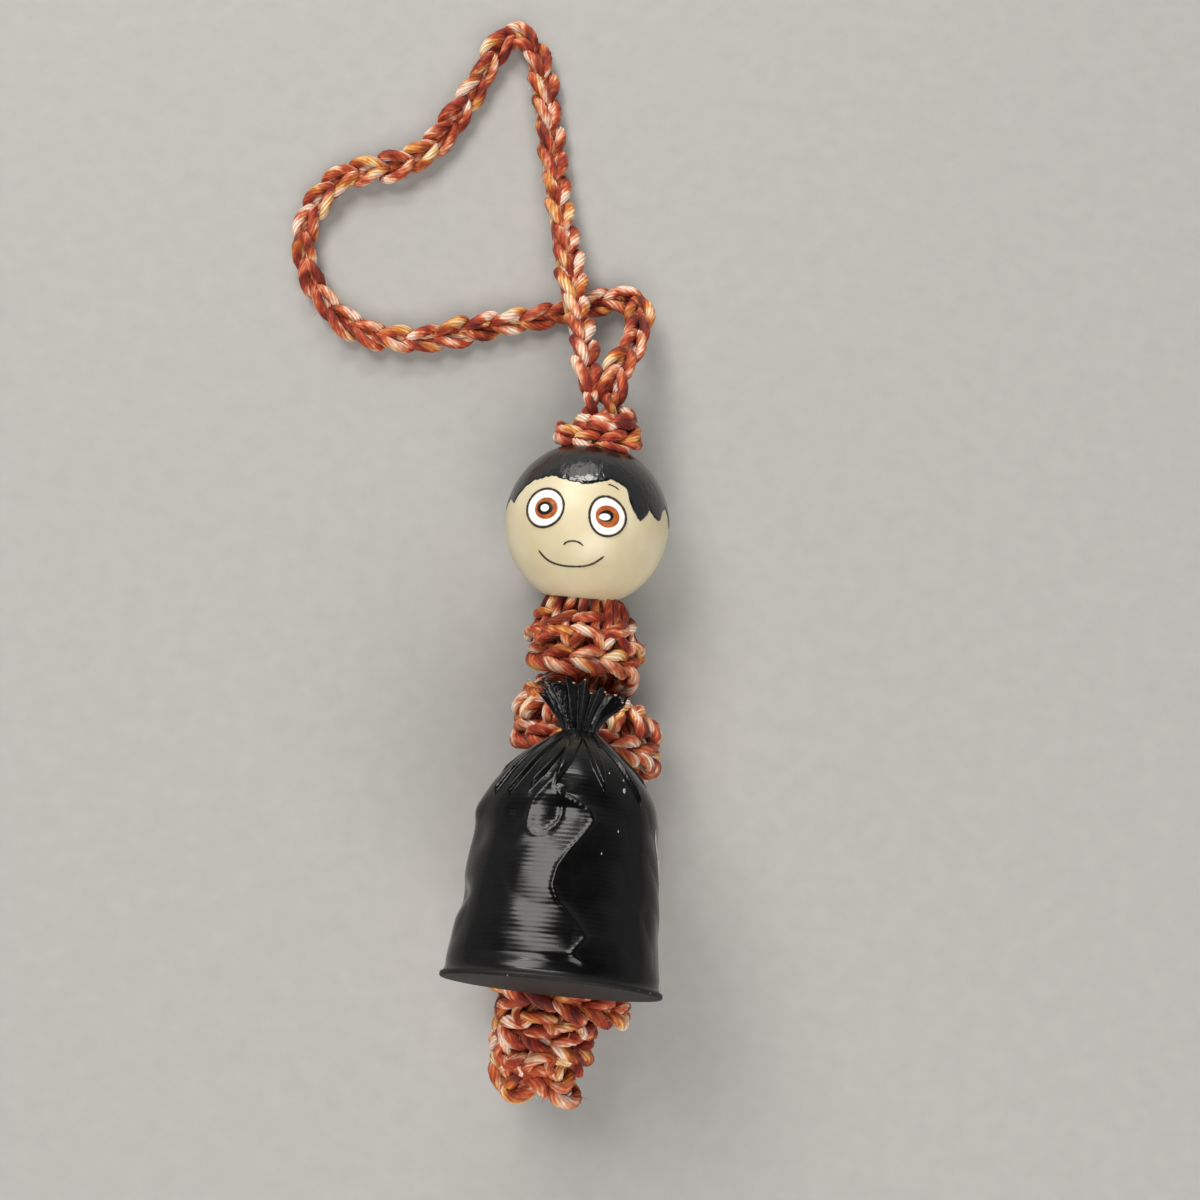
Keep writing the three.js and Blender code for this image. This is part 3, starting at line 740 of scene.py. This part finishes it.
def oval(angle, wide, tall, lean, egg):
    """A point on an egg shape's outline, its long way leaning clockwise from upright by lean degrees."""
    a, b = wide * math.sin(angle), tall * math.cos(angle)
    a *= 1 + egg * math.cos(angle)
    t = math.radians(lean)
    return a * math.cos(t) + b * math.sin(t), b * math.cos(t) - a * math.sin(t)


def dab(name, azimuth, polar, wide, tall, lean, egg, height, material):
    """A round dot of paint that follows the bead."""
    def at(u, v):
        across, upward = oval(2 * math.pi * u, wide * v, tall * v, lean, egg)
        return dab_point(azimuth, polar, across, upward, height if v < 0.99 else 0.0)
    mesh = wrapped(name, 40, 6, at)
    piece_of(name, placed(mesh, HEAD), material, "head")


def from_ends(count):
    """How many points each point of a line is away from its nearer end."""
    return np.minimum(np.arange(count), np.arange(count)[::-1])


def pen_line(name, points, width):
    """A drawn line on the bead, with rounded ends that thin out."""
    line = round_line(name, width, 2)
    points = evenly(np.array(points), PEN_STEP)
    count = len(points)
    taper = np.clip(from_ends(count) / 3, 0, 1) ** 0.5
    add_spline(line, in_head(points), taper * slack.uniform(0.85, 1.1, count))
    piece_of(name, swept([(line, None)]), pen_ink, "head")


for side, azimuth, polar, wide, tall, lean, egg, iris, pupil, glint in (
    ("left", -30.4, 86.0, 3.2, 2.92, -8, 0.0,
     (-28.9, 86.4, 2.12, 1.76, 0), (-29.6, 86.4, 1.5, 1.1, 0), (-29.6, 86.3, 0.82, 0.62, 0)),
    ("right", 13.9, 87.6, 2.74, 2.98, -28, -0.1,
     (14.0, 88.0, 1.98, 1.76, 10), (13.1, 87.9, 1.22, 0.96, -10), (12.1, 88.6, 0.94, 0.56, -5)),
):
    dab("eye_white_" + side, azimuth, polar, wide, tall, lean, egg, 0.03, white_paint)
    for kind, dot, height, material in (
        ("iris", iris, 0.06, brown_paint),
        ("pupil", pupil, 0.09, black_paint),
        ("glint", glint, 0.12, white_paint),
    ):
        dab(f"eye_{kind}_{side}", *dot, 0.0, height, material)
    ring = []
    for angle in np.linspace(0.3, 2 * math.pi + 0.5, 90):
        across, upward = oval(angle, wide, tall, lean, egg)
        ring.append(dab_point(azimuth, polar, across, upward, PAINT_LIFT))
    pen_line("eye_outline_" + side, ring, 0.38)
for name, width, route in (
    ("nose_line", 0.26, [(-14.5, 110.4), (-11.9, 107.9), (-7.3, 106.7), (-3.1, 107.4), (0.4, 109.6)]),
    ("mouth_line", 0.32, [
        (-34.6, 114.6), (-34.1, 115.8), (-30.1, 120.1), (-24.0, 123.4), (-14.8, 125.0), (-6.4, 124.9),
        (2.3, 123.7), (9.1, 120.9), (13.5, 117.3), (16.2, 114.6),
    ]),
    ("brow_line", 0.22, [(12.5, 65.4), (14.5, 65.6), (18.3, 66.8), (21.7, 68.7)]),
):
    pen_line(name, through([on_bead(a, p, PAINT_LIFT) for a, p in route]), width)


# Knot
# The chain-stitch cord is wrapped once round its own two legs and pulled tight above the bead, which keeps
# the bead from sliding off.
KNOT_PLUMP = 1.08
KNOT_ROUTE = [
    (-3.6, 14.2, -2.4), (-5.5, 13.6, -0.4), (-4.6, 12.7, 2.4), (-1.6, 12.2, 3.7), (1.5, 12.3, 3.8),
    (4.4, 12.9, 3.0), (5.7, 14.2, 0.4), (4.0, 15.0, -2.7), (0.4, 15.0, -3.4), (-1.6, 15.0, -2.0),
    (-2.4, 15.0, 1.0), (-1.2, 15.0, 3.3), (1.4, 15.3, 3.9), (3.8, 15.9, 2.9), (4.7, 16.8, 0.6),
    (3.2, 17.6, -1.6),
]
knot_keys = evenly(through(KNOT_ROUTE), 0.3)
knot_path = in_head(knot_keys)
knot_out = in_head(knot_keys * (1, 0, 1) + (0, 0.8, 0)) - in_head([(0, 0, 0)])
knot_half = np.repeat((1.1, 0.72), (7, 5))[:, None]
knot_strand = chain(knot_path, knot_out, len(knot_half), knot_half, KNOT_PLUMP)
knot = crochet("knot_stitches", [knot_strand], "neck")
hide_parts("loop_knot")


# Hanging loop
# The same cord goes on from the knot, rises to a bent top, falls to the left in a bow, crosses under itself
# and comes back to the knot. It is chain stitch all the way, 4.2 mm thick.
LOOP_STITCH = 4.7
LOOP_HALF = 1.46
LOOP_PLUMP = 1.1
RIGHT_LEG = (0.26, 0.36)
CORE_DEPTH = 0.75
CORE_ASIDE = 0.55
LOOP_ROUTE = [
    (-3.95, 54.441, 14.648), (-4.9, 57.554, 14.4), (-6.2, 63.654, 11.6), (-7.9, 69.854, 8.4),
    (-9.9, 77.054, 6.3), (-11.9, 85.054, 4.2), (-14.4, 95.554, 2.5), (-16.5, 104.554, 2.2),
    (-18.6, 112.054, 2.2), (-20.7, 116.854, 2.2), (-23.9, 119.054, 2.2), (-26.7, 116.054, 2.2),
    (-29.1, 109.854, 2.2), (-32.0, 103.054, 2.2), (-35.8, 97.254, 2.2), (-40.7, 93.554, 2.2),
    (-46.1, 91.854, 2.2), (-50.9, 88.654, 2.2), (-53.9, 83.654, 2.2), (-54.2, 77.554, 2.2),
    (-51.7, 71.254, 2.2), (-47.5, 66.454, 2.2), (-41.9, 63.854, 2.2), (-35.7, 63.454, 2.2),
    (-29.9, 64.754, 2.2), (-23.6, 66.854, 2.2), (-17.2, 68.854, 2.2), (-10.9, 71.054, 2.2),
    (-5.9, 72.954, 2.3), (-1.5, 74.254, 2.7), (1.6, 72.954, 3.9), (2.2, 68.854, 6.8),
    (1.6, 63.454, 10.8), (-0.3, 57.654, 14.2), (-0.65, 54.441, 14.648),
]
loop_path = evenly(through(LOOP_ROUTE), 0.8)
loop_length = np.linalg.norm(np.diff(loop_path, axis=0), axis=1).sum()
loop_along = np.gradient(loop_path, axis=0)
loop_along /= np.linalg.norm(loop_along, axis=1)[:, None]
loop_side = np.cross(loop_along, (0, 0, 1))
loop_side /= np.linalg.norm(loop_side, axis=1)[:, None]
loop_up = np.cross(loop_side, loop_along)
loop_share = np.linspace(0, 1, len(loop_path))
# The right-hand leg, from the knot to the top, is fuller and shows its Vs more to one side.
right_leg = 1 - ease(loop_share, *RIGHT_LEG)
loop_sway = 24 * np.sin(9 * loop_share + 0.6) + 16 * np.sin(23 * loop_share + 2)
loop_roll = np.radians(loop_sway * (1 - 0.7 * right_leg) + 24 * right_leg)[:, None]
loop_out = loop_up * np.cos(loop_roll) + loop_side * np.sin(loop_roll)
loop_stitches = round(loop_length / LOOP_STITCH)
right_stitches = 1 - ease(np.linspace(0, 1, loop_stitches), *RIGHT_LEG)
loop_half = LOOP_HALF + 0.24 * right_stitches[:, None]
loop_plump = np.repeat(LOOP_PLUMP + 0.16 * right_stitches, len(CHAIN_LOOP))
loop_core = loop_path - CORE_DEPTH * loop_out
core_aside = CORE_ASIDE * np.cross(loop_along, loop_out)
core_full = 1 + 0.6 * right_leg * ease(loop_share, 0.02, 0.08)
loop_strands = [chain(loop_path, loop_out, loop_stitches, loop_half, loop_plump)]
loop_strands += [np.c_[loop_core + sign * core_aside, core_full] for sign in (1, -1)]
loop = crochet("loop_stitches", loop_strands)
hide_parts("hanging_loop")
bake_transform(loop)
bpy.data.objects.remove(ply_section)


# Printed bin bag
# A black plastic print of a full bin bag: a wide foot, a crumpled belly, pleats up to a pinched neck and an
# open tuft above it. The print was laid down in layers, and it is glued by its back to the worm's front.
BAG_AT = (0.1, -31.4, 35.56)
BAG_TILT = -14
BAG = Matrix.Translation(BAG_AT) @ Matrix.Rotation(math.radians(BAG_TILT), 4, "X")
BAG_SIDES = 480
BAG_SHOULDER = (12.4, 20.4)
BAG_NECK = (2.4, 34.0)
TUFT_TOP = (6.0, 39.8)
TUFT_FOLDS = 34
TUFT_WALL = 0.45
TORN_TIPS = 46
BODY_DEPTH = 22 / 29.4
TUFT_SPREAD = 5 / 12.6
WALL_LOW = 1.6
LAYER = 0.6
CREASE_STAND = 0.75
CREASE_LEFT = 2.9
CREASE_RIGHT = 1.7
CREASE_EDGE = 0.14
CREASE_EDGE_WIDTH = 0.34
SIDE_CREASE_STAND = 0.15
RUMPLE = 0.22
# The bag's outline as radii and heights: the foot, the wall, and the tuft's outer and inner side.
FOOT = [
    (0, 0), (7, 0), (13.8, 0), (14.3, 0.03), (14.42, 0.16), (14.44, 0.4), (14.4, 0.6), (14.15, 0.72),
    (13.9, 1.1),
]
crown_line = bezier([BAG_SHOULDER, (12.4, 26.52), (6.9, 30.46), BAG_NECK], np.linspace(0, 1, 60))
wall_heights = np.arange(WALL_LOW, BAG_NECK[1], LAYER / 2)
wall_radii = np.interp(
    wall_heights, np.r_[WALL_LOW, 2.4, crown_line[:, 1]], np.r_[13.85, 13.9, crown_line[:, 0]],
)
wall_end = len(FOOT) + len(wall_heights)
tuft_line = bezier([BAG_NECK, (BAG_NECK[0], 35.45), TUFT_TOP], np.linspace(0, 1, 26))
tuft_inside = [(max(0.3, r - TUFT_WALL), y - 0.1) for r, y in tuft_line[::-3][:-1]]
bag_rows = np.vstack([FOOT, np.c_[wall_radii, wall_heights], tuft_line, tuft_inside, (0, 34.6)])

# The crease down the belly, as its place to the side at each height.
CREASE = np.array([
    (1.5, 4.4), (3.4, 2.0), (5.5, 3.5), (7.3, 2.1), (9.5, -0.2), (11.4, -1.1), (13.9, -0.7),
    (15.8, 0.4), (18.1, 1.9), (20.1, 3.0), (21.6, 2.3), (22.4, 0.4), (23.4, -1.5),
])
# A lesser crease left of it, which comes down from the neck and closes in a loop, in the same values.
SIDE_CREASE = through([
    (29.6, -1.0), (27.4, -1.6), (25.3, -2.5), (23.0, -1.4), (20.4, -1.1), (18.6, -2.2), (17.8, -3.9),
    (19.0, -5.3), (21.6, -5.1), (24.0, -3.6), (25.3, -2.5),
])
# Pleats: their angle at the neck and at their lower end, that end's height, and how far they stand out in mm.
PLEATS = [
    (-52, -58, 22.0, 0.55), (-30, -44, 21.6, 0.7), (-10, -30, 22.4, 0.7), (0, -13, 23.6, 0.55),
    (14, 22, 23.0, 0.7), (42, 50, 22.4, 0.6), (72, 80, 26.0, 0.4), (100, 108, 24.0, 0.45),
    (128, 132, 26, 0.4), (155, 160, 24, 0.45), (-178, -176, 26, 0.4), (-150, -152, 24, 0.45),
    (-122, -128, 26, 0.4), (-95, -102, 24, 0.45), (-72, -80, 26, 0.4),
]
# Dents: their angle, height, reach round and up in mm, and depth in mm.
DENTS = [
    (-82, 10.3, 3.4, 1.8, 1.1), (-80, 21.6, 3.0, 1.7, -0.45), (-66, 18.0, 3.0, 2.2, 0.5),
    (-6.5, 21.4, 2.3, 3.0, 0.65), (-22, 1.6, 6, 3.0, 0.55), (-34, 20.6, 1.8, 1.8, 0.4),
    (48, 12, 5, 5, 0.35), (75, 20, 3.5, 3.5, 0.4), (80, 6, 3, 3, 0.35), (115, 14, 5, 5, 0.5),
    (160, 8, 5, 5, 0.4), (-140, 15, 5, 5, 0.5), (-115, 5, 4, 4, 0.4), (180, 20, 5, 5, 0.4),
]


def crumple(angle, radius, height):
    """How far the bag's skin stands out from its plain form, in mm."""
    degrees = math.degrees(angle)
    out = 0.0
    if math.cos(angle) > 0 and height < 26:
        aside = radius * math.sin(angle) - np.interp(height, CREASE[:, 0], CREASE[:, 1])
        ends = ease(height, 1.4, 3.5) * (1 - ease(height, 22.4, 25))
        fold = CREASE_STAND * math.exp(-abs(aside) / (CREASE_LEFT if aside < 0 else CREASE_RIGHT))
        out += ends * (fold + CREASE_EDGE * math.exp(-((aside / CREASE_EDGE_WIDTH) ** 2)))
    if math.cos(angle) > 0 and 15 < height < 31:
        apart = SIDE_CREASE - (height, radius * math.sin(angle))
        out += SIDE_CREASE_STAND * math.exp(-(apart * apart).sum(1).min() / 0.13)
    for top, low, end, depth in PLEATS:
        run = ease(height, end, end + 5.0)
        line = mix(top, low, 1 - np.clip((height - end) / (BAG_NECK[1] - end), 0, 1))
        off = abs(math.radians((degrees - line + 180) % 360 - 180) * radius)
        out += depth * min(1, radius / 4) * ease(min(0.85, 0.17 * radius) * run - off, 0, 0.3)
    for place, level, reach, tall, depth in DENTS:
        off = math.radians((degrees - place + 180) % 360 - 180) * radius
        far = (off / reach) ** 2 + ((height - level) / tall) ** 2
        if far < 6:
            out -= depth * math.exp(-far)
    rumple = noise.noise(Vector((math.sin(angle) * 2.4, height / 5.5, math.cos(angle) * 2.4)))
    return out + RUMPLE * (abs(rumple) - 0.25) * ease(height, 1.5, 5)


# The tuft's folds and torn edge, as heights at uneven places round it.
uneven = slack.uniform(-0.36, 0.36, TUFT_FOLDS - 1)
fold_places = np.r_[0, (np.arange(1, TUFT_FOLDS) + uneven) / TUFT_FOLDS, 1]
fold_heights = slack.uniform(0.3, 1.0, TUFT_FOLDS + 1) * np.where(np.arange(TUFT_FOLDS + 1) % 2, 1, -1)
fold_heights[-1] = fold_heights[0]
torn_edge = slack.uniform(-1.3, 0.6, TORN_TIPS + 1)
torn_edge[-1] = torn_edge[0]


def bag_at(u, v):
    angle = 2 * math.pi * u - math.pi
    row = round(v * (len(bag_rows) - 1))
    radius, height = bag_rows[row]
    gathered = ease(height, BAG_SHOULDER[1], BAG_NECK[1])
    opened = ease(height, BAG_NECK[1], TUFT_TOP[1])
    depth = mix(mix(BODY_DEPTH, 1, gathered), TUFT_SPREAD, opened)
    if WALL_LOW <= height < BAG_NECK[1] and row < wall_end:
        belly = ease(height, WALL_LOW, 3.0)
        radius += belly * crumple(angle, radius, height)
    elif height >= BAG_NECK[1]:
        fold = np.interp(u, fold_places, fold_heights)
        radius *= 1 + 0.26 * fold * (0.3 + 0.7 * opened) * (0.35 + 0.65 * abs(math.cos(angle)))
        front = max(0, math.cos(angle + 0.25))
        torn = np.interp(TORN_TIPS * u, np.arange(TORN_TIPS + 1), torn_edge)
        torn += 0.4 * fold + 1.0 * front - 0.3 * math.sin(angle)
        height += opened**2 * torn
    return Vector((radius * math.sin(angle), height, radius * depth * math.cos(angle)))


# Printed plastic: black gloss with fine layer lines, and dull on the foot's face, which lay on the bed.
print_black, tree, shade = finish_named("black_printed_plastic", IOR=1.46, Specular_IOR_Level=0.34)
spot = node(tree, "ShaderNodeTexCoord").outputs["Object"]
unturned = node(tree, "ShaderNodeMapping", {"Vector": spot, "Location": [-MM * place for place in BAG_AT]})
upright = node(
    tree, "ShaderNodeMapping", {"Vector": unturned.outputs[0], "Rotation": (math.radians(-BAG_TILT), 0, 0)},
)
height = node(tree, "ShaderNodeSeparateXYZ", {"Vector": upright.outputs[0]}).outputs["Y"]
on_wall = remap(tree, height, 0.2 * MM, 1.0 * MM)
on_tuft = remap(tree, height, 33.5 * MM, 35.5 * MM)
mottle = patches(tree, spot, 3, 4.0)
gloss = remap(tree, mottle, 0.3, 0.7, 0.13, 0.24)
dull = node(tree, "ShaderNodeMix", {0: on_wall, 2: 0.62, 3: gloss})
tree.links.new(dull.outputs[0], shade.inputs["Roughness"])
black = ramp(tree, mottle, (0.3, "#050506"), (0.7, "#0B0B0D"))
bed_face = ramp(tree, mottle, (0.3, "#0B0A0A"), (0.7, "#161514"))
specks = remap(tree, patches(tree, spot, 0.45, 1.0), 0.74, 0.78)
dusty = node(tree, "ShaderNodeMix", {0: specks, 6: bed_face, 7: linear("#A8A59E")}, data_type="RGBA")
blackened = node(tree, "ShaderNodeMix", {0: on_wall, 6: dusty.outputs[2], 7: black}, data_type="RGBA")
tree.links.new(blackened.outputs[2], shade.inputs["Base Color"])
# Layers of 0.2 mm are too fine to show, so they are drawn 0.6 mm apart. The tuft is grainy.
layers = node(
    tree, "ShaderNodeTexWave", {"Vector": upright.outputs[0], "Scale": 2 * math.pi / (20 * LAYER * MM)},
    wave_type="BANDS", bands_direction="Y",
)
relief(tree, shade, layers.outputs["Fac"], 1.0, 0.007)
grainy = node(tree, "ShaderNodeMath", {0: patches(tree, spot, 0.55, 3.0), 1: on_tuft}, operation="MULTIPLY")
relief(tree, shade, grainy.outputs[0], 1.0, 0.13)
mesh = wrapped("printed_bin_bag", BAG_SIDES, len(bag_rows) - 1, bag_at)
bag = piece_of("printed_bin_bag", placed(mesh, BAG), print_black, "body")
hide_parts("bin_bag")


# Hot glue
# Two dabs of clear hot glue hold the bag to the worm. Fine strings and crumbs of it are left on the bag
# where the glue gun was pulled away.
glue, tree, shade = finish_named(
    "clear_hot_glue", Roughness=0.24, IOR=1.5, Transmission_Weight=0.55, Specular_IOR_Level=0.5
)
mottled(tree, shade, 1.6, 3.0, (0.3, "#CBC6BA"), (0.7, "#E6E2D8"))
for dab_name in ("glue_dab_upper", "glue_dab_lower"):
    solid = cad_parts[dab_name]
    solid.data.materials.clear()
    solid.data.materials.append(glue)


def on_bag(degrees, height, stand=0.0):
    """A point on the bag's skin, in the part's frame, in mm."""
    angle = math.radians(degrees)
    radius = np.interp(height, wall_heights, wall_radii)
    radius += crumple(angle, radius, height) + stand
    depth = mix(BODY_DEPTH, 1, ease(height, BAG_SHOULDER[1], BAG_NECK[1]))
    return BAG @ Vector((radius * math.sin(angle), height, radius * depth * math.cos(angle)))


def add_crumb(form, place, size, shape):
    """Adds a crumb of glue at a place and of a size in mm, drawn out in a shape."""
    made = bmesh.ops.create_icosphere(form, subdivisions=2, radius=size * MM)["verts"]
    bmesh.ops.scale(form, vec=shape, verts=made)
    bmesh.ops.translate(form, vec=place * MM, verts=made)


form = bmesh.new()
for degrees, height, size in (
    (38.5, 26.4, 0.14), (36.3, 24.9, 0.27), (30.7, 19.4, 0.12), (20.9, 16.2, 0.11), (27, 27.0, 0.12),
    (-21, 2.2, 0.1),
):
    add_crumb(form, on_bag(degrees, height), size, (0.8, 1.5, 0.7))
torn_row = (wall_end + len(tuft_line) - 1) / (len(bag_rows) - 1)
for place, size in (
    (0.4, 0.13), (0.455, 0.17), (0.5, 0.12), (0.53, 0.16), (0.585, 0.15), (0.61, 0.13), (0.64, 0.18),
    (0.67, 0.14), (0.7, 0.15),
):
    add_crumb(form, BAG @ bag_at(place, torn_row), size, (1.3, 0.7, 0.8))
piece_of("glue_crumbs", mesh_of(form, "glue_crumbs"), glue, "body")
string = round_line("glue_string", 0.2, 2)
string_route = [on_bag(a, h, 0.1) for a, h in ((72, 21.4), (76, 19.8), (79, 17.6), (80, 15), (84, 13))]
run_down = evenly(np.array(string_route), 0.3)
add_spline(string, run_down, np.clip(from_ends(len(run_down)) / 4, 0.3, 1))
piece_of("glue_string", swept([(string, None)]), glue, "body")


# Table, light and camera
# The worm lies on its back on a plain pale table. A low window and a long pane stand beyond its head, a high
# window to its left, and a broad fill at its foot. The walls give the rest, under a dim ceiling. The camera
# looks down from over the bag, turned a little.
TABLE_HALF = 1.5
LAMP_DISTANCE = 0.8
LAMP_AIM = Vector((0, 0.01, 0.02))
CAMERA_AT = (0.00094, -0.00458, 0.20641)
CAMERA_TILT = math.radians(8)
CAMERA_ROLL = math.radians(6.3)
VIEW_ANGLE = math.radians(50)
SENSOR = 36
form = bmesh.new()
bmesh.ops.create_grid(form, x_segments=8, y_segments=8, size=TABLE_HALF)
table = linked("table", mesh_of(form, "table"))
table_paper, tree, shade = finish_named("pale_table_paper", Roughness=0.9, Specular_IOR_Level=0.2)
mottled(tree, shade, 3, 4.0, (0.3, "#A7A6A4"), (0.7, "#ACABA9"))
table.data.materials.append(table_paper)

world = bpy.data.worlds.new("room")
world.use_nodes = True
bpy.context.scene.world = world
tree = world.node_tree
walls = tree.nodes["Background"]
walls.inputs["Color"].default_value = linear("#F4F5F7")
way = node(tree, "ShaderNodeTexCoord")
upward = node(tree, "ShaderNodeSeparateXYZ", {"Vector": way.outputs["Generated"]})
ceiling = remap(tree, upward.outputs["Z"], 0.3, 0.75, 0.44, 0.07)
tree.links.new(ceiling, walls.inputs["Strength"])

for name, wide, tall, watts, way in (
    ("low_window", 0.46, 0.4, 1.1, (-0.2, 0.92, 0.37)),
    ("long_pane", 0.5, 0.1, 2.0, (-0.2, 0.8, 0.58)),
    ("high_window", 0.36, 0.36, 3.4, (-0.43, 0.44, 0.79)),
    ("room_fill", 0.7, 0.5, 5.4, (0.2, -0.6, 0.78)),
):
    lamp = bpy.data.lights.new(name, "AREA")
    lamp.shape = "RECTANGLE"
    lamp.size = wide
    lamp.size_y = tall
    lamp.energy = watts
    lamp.color = linear("#FFFCF6")[:3]
    lamp_object = linked(name, lamp)
    lamp_object.location = LAMP_AIM + LAMP_DISTANCE * Vector(way).normalized()
    lamp_object.rotation_euler = (lamp_object.location - LAMP_AIM).to_track_quat("Z", "Y").to_euler()

camera = bpy.data.cameras.new("camera")
camera.sensor_width = SENSOR
camera.sensor_height = SENSOR
camera.angle = VIEW_ANGLE
camera.clip_start = 0.01
camera_object = linked("camera", camera)
across = Vector((1, 0, 0))
level_up = Vector((0, math.cos(CAMERA_TILT), math.sin(CAMERA_TILT)))
right = math.cos(CAMERA_ROLL) * across + math.sin(CAMERA_ROLL) * level_up
up = math.cos(CAMERA_ROLL) * level_up - math.sin(CAMERA_ROLL) * across
turned = Matrix((right, up, right.cross(up))).transposed().to_4x4()
camera_object.matrix_world = Matrix.Translation(CAMERA_AT) @ turned
bpy.context.scene.camera = camera_object
bpy.context.scene.view_settings.view_transform = "Standard"
